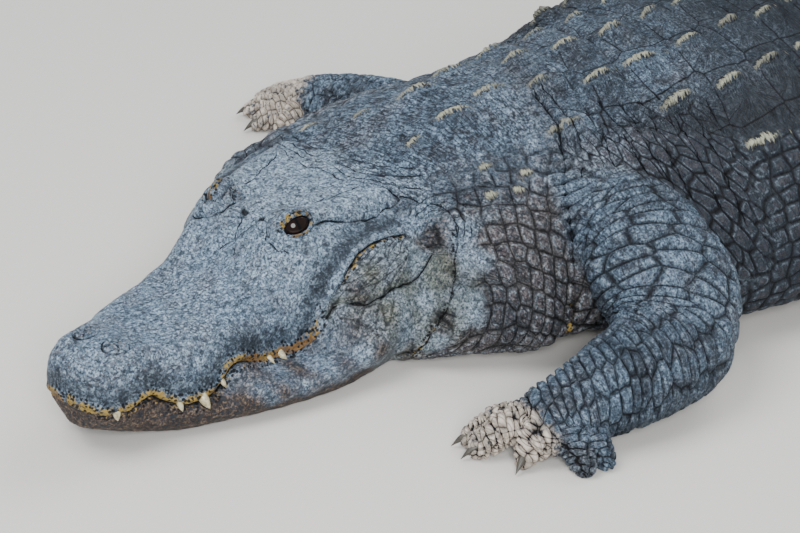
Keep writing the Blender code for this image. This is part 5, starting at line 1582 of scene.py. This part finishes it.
class AlligatorHide(PropertyGroup):
    """Sizes and colours of the hide."""

    relief: FloatProperty(name="Relief", description="Share of the scales' full height",
                          default=1.0, min=0.0, max=2.0, subtype="FACTOR")
    slate: color_property("Slate", "Blue-grey of the head and limbs", (0.12, 0.18, 0.26))
    brown: color_property("Brown", "Brown-grey of the neck and flanks", (0.1, 0.088, 0.082))
    violet: color_property("Violet", "Middles of the flank scales", (0.095, 0.072, 0.078))
    # Also darkens the trunk, its lower sides and the limbs' lower sides, partly as painted shade
    dark: color_property("Dark", "Darker scales", (0.015, 0.017, 0.021))
    # Also the colour of the painted shade over the trunk, its lower sides and the limbs' lower sides
    shade: color_property("Shade", "Fine dark specks", (0.024, 0.031, 0.041))
    # Also lightens the back of the head, partly as painted light
    dust: color_property("Dust", "Pale specks of dust", (0.385, 0.49, 0.6))
    # Also the colour of the painted shade beside the keels, along the limbs' creases and between the lips
    crease: color_property("Crease", "Colour down in the creases", (0.007, 0.007, 0.008))
    keel: color_property("Keel", "Pale horn on the keels", (0.37, 0.365, 0.28))
    jaw: color_property("Lower jaw", "Grey-brown of the lower jaw", (0.034, 0.022, 0.016))
    tan: color_property("Tan", "Pale specks of the lower jaw", (0.27, 0.195, 0.14))
    olive: color_property("Olive", "Olive of the jowl", (0.12, 0.125, 0.05))
    ochre: color_property("Lips", "Ochre of the lips and lids", (0.31, 0.215, 0.06))
    rust: color_property("Rust", "Orange-brown stretches of the lips", (0.175, 0.098, 0.04))
    sand: color_property("Sand", "Sand on hands and feet", (0.55, 0.475, 0.405))


KEY_POWER = 120.0
SKY_STRENGTH = 0.6


class AlligatorStage(PropertyGroup):
    """The floor, lights and camera."""

    floor: color_property("Floor", "Colour of the floor", (0.62, 0.6, 0.57))
    key: FloatProperty(name="Key light", description="Power of the overhead light",
                       default=KEY_POWER, unit="POWER")
    sky: FloatProperty(name="Sky light", description="Strength of the light from all round",
                       default=SKY_STRENGTH)


class ALLIGATOR_OT_hide(Operator):
    """Build the skin with its folds, scales and keels"""

    bl_idname = "alligator.hide"
    bl_label = "Hide"

    def execute(self, context):
        sizes = context.scene.alligator_hide
        thing = base_skin()
        spots = sculpt(thing.data)
        relief = thing.modifiers.new("relief", "NODES")
        relief.node_group = relief_tree(sizes.relief)
        evaluated(thing)
        clamp_floor(thing.data)
        points = read_points(thing.data) + TIP
        write_points(thing.data, points)
        split_skin(thing, spots, hide_material(sizes))
        return {"FINISHED"}


class ALLIGATOR_OT_eyes(Operator):
    """Build both eyeballs, with iris and slit pupil"""

    bl_idname = "alligator.eyes"
    bl_label = "Eyes"

    def execute(self, context):
        material = eye_material()
        for name, side in (("eye_L", 1.0), ("eye_R", -1.0)):
            face, level, upward, look = eye_frame(side)
            middle = face - look * BALL_RADIUS
            mesh = bmesh.new()
            bmesh.ops.create_uvsphere(mesh, u_segments=EYE_SEGMENTS[0], v_segments=EYE_SEGMENTS[1],
                                      radius=BALL_RADIUS)
            bmesh.ops.translate(mesh, verts=mesh.verts, vec=Vector(middle + TIP))
            ball = new_object("eyeball_" + name[-1], mesh)
            offset = (read_points(ball.data) - middle - TIP) / BALL_RADIUS
            write_field(ball.data, "gaze", np.stack((offset @ level, offset @ upward, offset @ look), 1))
            deep = (offset @ look)[:, None]
            shrunk = 1.0 - 0.5 * step_down(0.05, 0.52, deep)
            offset = (offset - deep * look) * shrunk + np.where(deep > 0.0, deep, 0.4 * deep) * look
            write_points(ball.data, middle + TIP + offset * BALL_RADIUS)
            dress(ball, material)
            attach(ball, "root")
            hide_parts(name)
        return {"FINISHED"}


class ALLIGATOR_OT_lids(Operator):
    """Build the rims of the eyelids"""

    bl_idname = "alligator.lids"
    bl_label = "Eyelids"

    def execute(self, context):
        for side in (1.0, -1.0):
            face, level, upward, look = eye_frame(side)
            rings, tints = [], []
            for turn in np.linspace(0.0, 2.0 * math.pi, LID_TURNS):
                high = math.sin(turn)
                corner = abs(math.cos(turn)) ** 6
                inner = np.array((OPENING[0] * math.cos(turn), OPENING[1] * high * abs(high) ** 0.35))
                outer = np.array((LID_OUTER[0] * math.cos(turn), LID_OUTER[1] * high))
                bulge = (LID_BULGE[0] if high > 0.0 else LID_BULGE[1]) * (1.0 - 0.55 * corner)
                share = np.linspace(0.0, 1.0, LID_POINTS)
                flat = inner + np.outer(share, outer - inner)
                start = math.sqrt(max(BALL_RADIUS ** 2 - inner @ inner, 1e-6)) - BALL_RADIUS
                up = (1.0 - share) * start + share * LID_ROOT + bulge * np.sin(math.pi * share ** 0.55)
                up[0] = start - 0.001
                ring = face + np.outer(flat[:, 0], level) + np.outer(flat[:, 1], upward)
                ring = ring + np.outer(up, look)
                low = face + outer[0] * level + outer[1] * upward + (LID_ROOT - LID_SKIRT) * look
                deep = face + 0.9 * (inner[0] * level + inner[1] * upward) + (start - LID_SKIRT) * look
                rings.append(np.concatenate((ring, (low, deep))))
                tints.append(np.concatenate((share, (1.0, 0.0))))
            rings = np.array(rings) + TIP
            mesh = tube(rings)
            bmesh.ops.recalc_face_normals(mesh, faces=mesh.faces)
            lids = new_object("lids_" + ("L" if side > 0.0 else "R"), mesh)
            points = read_points(lids.data)
            tree = KDTree(rings.size // 3)
            for index, spot in enumerate(rings.reshape(-1, 3)):
                tree.insert(spot, index)
            tree.balance()
            outward = np.concatenate(tints)[[tree.find(point)[1] for point in points]]
            above = (points - face - TIP) @ upward > 0.0
            gold = step_up(0.03, 0.09, outward) * step_down(0.26, 0.42, outward - 0.42 * ~above)
            gold *= patches(points, 0.009, 21, 0.9, 0.5, 0.55, 1.0)
            line = np.maximum(step_down(0.02, 0.08, outward), 0.0)
            for place, strength in LID_CREASES:
                broken = patches(points, 0.012, 23, 0.55, 0.6, 0.0, 1.0)
                line = np.maximum(line, strength * broken * bell(outward, 0.055, place))
            zero = np.zeros(len(points))
            grains = step_up(0.06, 0.15, outward) * step_down(0.6, 0.9, outward)
            write_field(lids.data, "marks", np.stack((line, gold, 0.55 * grains), 1))
            write_field(lids.data, "face", np.stack((zero + 1.0, zero + 0.08, zero), 1))
            for name in ("lie", "plate", "limb_lie", "tone", "pouch", *TRIPLES):
                write_field(lids.data, name, np.zeros((len(points), 3)))
            dress(lids, bpy.data.materials["alligator_hide"])
            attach(lids, "root")
        return {"FINISHED"}


def eye_material():
    """A dark brown wet eye with an upright slit pupil."""
    material, shader, craft = new_material("alligator_eye")
    across, up, _ = craft.parts(craft.field("gaze", True))
    spot = craft.place()
    far = (across * across + up * up).math("SQRT")
    streak = craft.noise(spot, 900.0, 2.0)
    brown = craft.mix(streak, (0.004, 0.002, 0.001), (0.014, 0.005, 0.003))
    brown = craft.mix(far.step(0.5, 0.75), brown, (0.006, 0.004, 0.004))
    slit = 1.0 - (across.size() + up * up * 0.16).step(0.05, 0.12)
    dark = craft.mix(slit, brown, (0.001, 0.001, 0.001))
    craft.feed(shader, {"Base Color": dark, "Roughness": 0.06, "Specular IOR Level": 0.26})
    return material


def horn_material():
    """Dark horn with paler grain, for claws and crest."""
    material, shader, craft = new_material("alligator_horn")
    spot = craft.place()
    grain = craft.noise(spot, 400.0, 3.0)
    horn = craft.mix(grain, (0.018, 0.017, 0.016), (0.09, 0.08, 0.062))
    craft.feed(shader, {"Base Color": horn, "Roughness": 0.42, "Normal": craft.bump(0.4, grain, 0.001)})
    return material


def tooth_material():
    """Worn ivory, with stained patches."""
    material, shader, craft = new_material("alligator_tooth")
    spot = craft.place()
    stain = craft.noise(spot, 220.0, 2.0)
    ivory = craft.mix(stain.step(0.4, 0.7), (0.5, 0.46, 0.3), (0.26, 0.21, 0.11))
    craft.feed(shader, {"Base Color": ivory, "Roughness": 0.3, "Coat Weight": 0.3})
    return material


CONE_RINGS = 9
CONE_SIDES = 10
TOOTH_HALF = 0.0047
TOOTH_BLUNT = 3.0
TOOTH_HANG = 0.0095
CLAW_HALF = 0.006
CLAW_BLUNT = 1.6
CLAW_SAG = 0.003
CLAW_REACH = 0.021


def bent_cone(root, tip, half, sag, blunt):
    """A curved cone from a root to a tip, as a bmesh of its own."""
    root, tip = np.array(root), np.array(tip)
    share = np.linspace(0.0, 1.0, CONE_RINGS)
    line = root + np.outer(share, tip - root)
    line[:, 2] += sag * np.sin(share * math.pi)
    thick = half * np.maximum(1.0 - share ** blunt, 0.03)
    path = np.concatenate((line, thick[:, None], thick[:, None]), 1)
    return tube(tube_rings(path, CONE_RINGS, CONE_SIDES, dome=()))


class ALLIGATOR_OT_teeth(Operator):
    """Build the upper teeth that hang over the lower lip"""

    bl_idname = "alligator.teeth"
    bl_label = "Teeth"

    def execute(self, context):
        mesh = bmesh.new()
        for back, big in TEETH:
            for side in (1.0, -1.0):
                lip_out, lip_up = curve(LIP_OUT, back), curve(LIP_UP, back)
                line = jaw_side(back, 40, 1.0 if side > 0.0 else JAW_RIGHT)
                out, up = line[int(np.searchsorted(reach_along(line), TOOTH_HANG * big))]
                root = on_head(back, side * (lip_out - 0.003), lip_up + 0.006)
                tip = on_head(back, side * (out + 0.003), up + 0.001)
                join_into(mesh, bent_cone(root, tip, TOOTH_HALF * big, 0.0, TOOTH_BLUNT))
        bmesh.ops.translate(mesh, verts=mesh.verts, vec=Vector(TIP))
        teeth = new_object("teeth", mesh)
        dress(teeth, tooth_material())
        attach(teeth, "root")
        return {"FINISHED"}


class ALLIGATOR_OT_claws(Operator):
    """Build the claws of the hands and feet"""

    bl_idname = "alligator.claws"
    bl_label = "Claws"

    def execute(self, context):
        material = horn_material()
        for name, _, digits, _ in LIMBS:
            mesh = bmesh.new()
            for _, knuckle, end in digits[:CLAWED]:
                ahead = np.array(end) - np.array(knuckle)
                reach = np.array(end) + ahead * CLAW_REACH / np.linalg.norm(ahead[:2])
                root = np.array(end) - ahead * 0.1 + (0.0, 0.0, 0.003)
                join_into(mesh, bent_cone(root, (*reach[:2], 0.002), CLAW_HALF, CLAW_SAG, CLAW_BLUNT))
            bmesh.ops.translate(mesh, verts=mesh.verts, vec=Vector(TIP))
            claws = new_object("claws_" + name, mesh)
            dress(claws, material)
            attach(claws, "root")
        return {"FINISHED"}


FIN_HALF_LONG = 0.029
FIN_HALF_WIDE = 0.0085
FIN_ROOT = 0.008
FIN_CUTS = 6


def crest_frame(place, side):
    """A point on the back at a distance to the left, with the ways along, across and out."""
    half = float(curve(BODY_HALF, place))
    sine = min(abs(side) / half, 1.0) ** (float(curve(UPPER_POWER, place)) / 2.0)
    turn = math.copysign(math.asin(sine), side)
    along = body_points(place + 0.002, turn) - body_points(place - 0.002, turn)
    across = body_points(place, turn + 0.002) - body_points(place, turn - 0.002)
    along /= np.linalg.norm(along)
    out = np.cross(across, along)
    out /= np.linalg.norm(out)
    return body_points(place, turn), along, np.cross(along, out), out


class ALLIGATOR_OT_crest(Operator):
    """Build the upright scutes along the tail"""

    bl_idname = "alligator.crest"
    bl_label = "Tail crest"

    def execute(self, context):
        draw = random.Random(5)
        mesh = bmesh.new()
        for place in ROWS[ROWS > CREST_START]:
            spot = float(curve(CREST_SIDE, place))
            for side in (spot, -spot) if place < CREST_SPLIT_END else (0.0,):
                middle, along, across, out = crest_frame(place, side)
                high = float(curve(CREST_HEIGHT, place)) * draw.uniform(0.9, 1.1)
                wide = min(FIN_HALF_WIDE, 0.5 * float(curve(BODY_HALF, place)))
                fin = bmesh.new()
                bmesh.ops.create_cube(fin, size=2.0)
                bmesh.ops.subdivide_edges(fin, edges=fin.edges, cuts=FIN_CUTS, use_grid_fill=True)
                for vert in fin.verts:
                    x, y, z = vert.co
                    rise = 0.5 * (z + 1.0)
                    taper = (1.0 - rise) ** 0.7
                    a = x * (1.0 - 0.42 * rise) * FIN_HALF_LONG + 0.45 * rise * FIN_HALF_LONG
                    round_off = max(0.0, 1.0 - 0.85 * abs(x) ** 4 * rise)
                    b = y * wide * (0.1 + 0.9 * taper) * (1.0 - 0.5 * x * x)
                    c = -FIN_ROOT + (high + FIN_ROOT) * rise * round_off
                    vert.co = Vector(middle + TIP + along * a + across * b + out * c)
                join_into(mesh, fin)
        crest = new_object("tail_crest", mesh)
        dress(crest, horn_material())
        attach(crest, "root")
        return {"FINISHED"}


FLOOR_HALF = 14.0
FLOOR_DROP = 0.0005
FILL_POWER = 270.0
REAR_POWER = 120.0
# Name, place, aim and width of each lamp
LAMPS = (
    ("key", (-3.0, 0.6, 3.5), (-1.2, 0.0, 0.1), 2.6),
    ("fill", (-3.5, -3.5, 2.6), (-1.2, 0.0, 0.1), 2.4),
    ("rear", (2.6, 0.5, 3.6), (0.6, 0.0, 0.1), 3.5),
)


class ALLIGATOR_OT_stage(Operator):
    """Build the floor, the lights and the camera"""

    bl_idname = "alligator.stage"
    bl_label = "Stage"

    def execute(self, context):
        sizes = context.scene.alligator_stage
        mesh = bmesh.new()
        bmesh.ops.create_grid(mesh, x_segments=8, y_segments=8, size=FLOOR_HALF)
        floor = new_object("floor", mesh)
        floor.location.z = -FLOOR_DROP
        material, shader, craft = new_material("floor_pale")
        craft.feed(shader, {"Base Color": (*sizes.floor, 1.0), "Roughness": 0.85})
        floor.data.materials.append(material)
        world = context.scene.world or bpy.data.worlds.new("studio")
        context.scene.world = world
        world.use_nodes = True
        sky = world.node_tree.nodes["Background"]
        sky.inputs["Color"].default_value = (0.86, 0.93, 1.0, 1.0)
        sky.inputs["Strength"].default_value = sizes.sky
        powers = {"key": sizes.key, "fill": FILL_POWER, "rear": REAR_POWER}
        for name, place, aim, size in LAMPS:
            lamp = bpy.data.lights.new(name, "AREA")
            lamp.shape = "DISK"
            lamp.size = size
            lamp.energy = powers[name]
            light = bpy.data.objects.new(name, lamp)
            context.scene.collection.objects.link(light)
            light.location = place
            way = Vector(aim) - Vector(place)
            light.rotation_euler = way.to_track_quat("-Z", "Y").to_euler()
        put_camera(context)
        return {"FINISHED"}


def put_camera(context):
    """The camera at the photo's view."""
    turn, rise, roll = (math.radians(value) for value in (CAMERA_AZIMUTH, CAMERA_ELEVATION, CAMERA_ROLL))
    back = Vector((math.cos(turn) * math.cos(rise), math.sin(turn) * math.cos(rise), math.sin(rise)))
    level = Vector((-math.sin(turn), math.cos(turn), 0.0))
    upward = back.cross(level)
    right = level * math.cos(roll) + upward * math.sin(roll)
    lens = bpy.data.cameras.new("view")
    lens.lens = CAMERA_LENS
    lens.sensor_width = CAMERA_SENSOR
    lens.clip_end = CAMERA_FAR
    camera = bpy.data.objects.new("view", lens)
    context.scene.collection.objects.link(camera)
    place = Vector(np.array(CAMERA_AIM) + TIP) + back * CAMERA_DISTANCE
    turned = Matrix((right, back.cross(right), back)).transposed().to_4x4()
    camera.matrix_world = Matrix.Translation(place) @ turned
    context.scene.camera = camera


class ALLIGATOR_PT_panel(Panel):
    """Lists the pieces of the alligator."""

    bl_idname = "ALLIGATOR_PT_panel"
    bl_label = "Alligator"
    bl_space_type = "VIEW_3D"
    bl_region_type = "UI"
    bl_category = "Alligator"

    def draw(self, context):
        """Show each operator and each property."""
        for operator in STEPS:
            self.layout.operator(operator.bl_idname)
        for group in (context.scene.alligator_hide, context.scene.alligator_stage):
            for name in group.__annotations__:
                self.layout.prop(group, name)


STEPS = (ALLIGATOR_OT_hide, ALLIGATOR_OT_eyes, ALLIGATOR_OT_lids, ALLIGATOR_OT_teeth, ALLIGATOR_OT_claws,
         ALLIGATOR_OT_crest, ALLIGATOR_OT_stage)
CLASSES = (AlligatorHide, AlligatorStage, *STEPS, ALLIGATOR_PT_panel)


def register():
    """Make the operators, properties and panel known."""
    for item in CLASSES:
        bpy.utils.register_class(item)
    bpy.types.Scene.alligator_hide = PointerProperty(type=AlligatorHide)
    bpy.types.Scene.alligator_stage = PointerProperty(type=AlligatorStage)


def unregister():
    """Forget them again."""
    del bpy.types.Scene.alligator_hide
    del bpy.types.Scene.alligator_stage
    for item in reversed(CLASSES):
        bpy.utils.unregister_class(item)


def main():
    """Build every piece."""
    register()
    bpy.ops.alligator.hide()
    bpy.ops.alligator.eyes()
    bpy.ops.alligator.lids()
    bpy.ops.alligator.teeth()
    bpy.ops.alligator.claws()
    bpy.ops.alligator.crest()
    bpy.ops.alligator.stage()


if __name__ == "__main__":
    main()
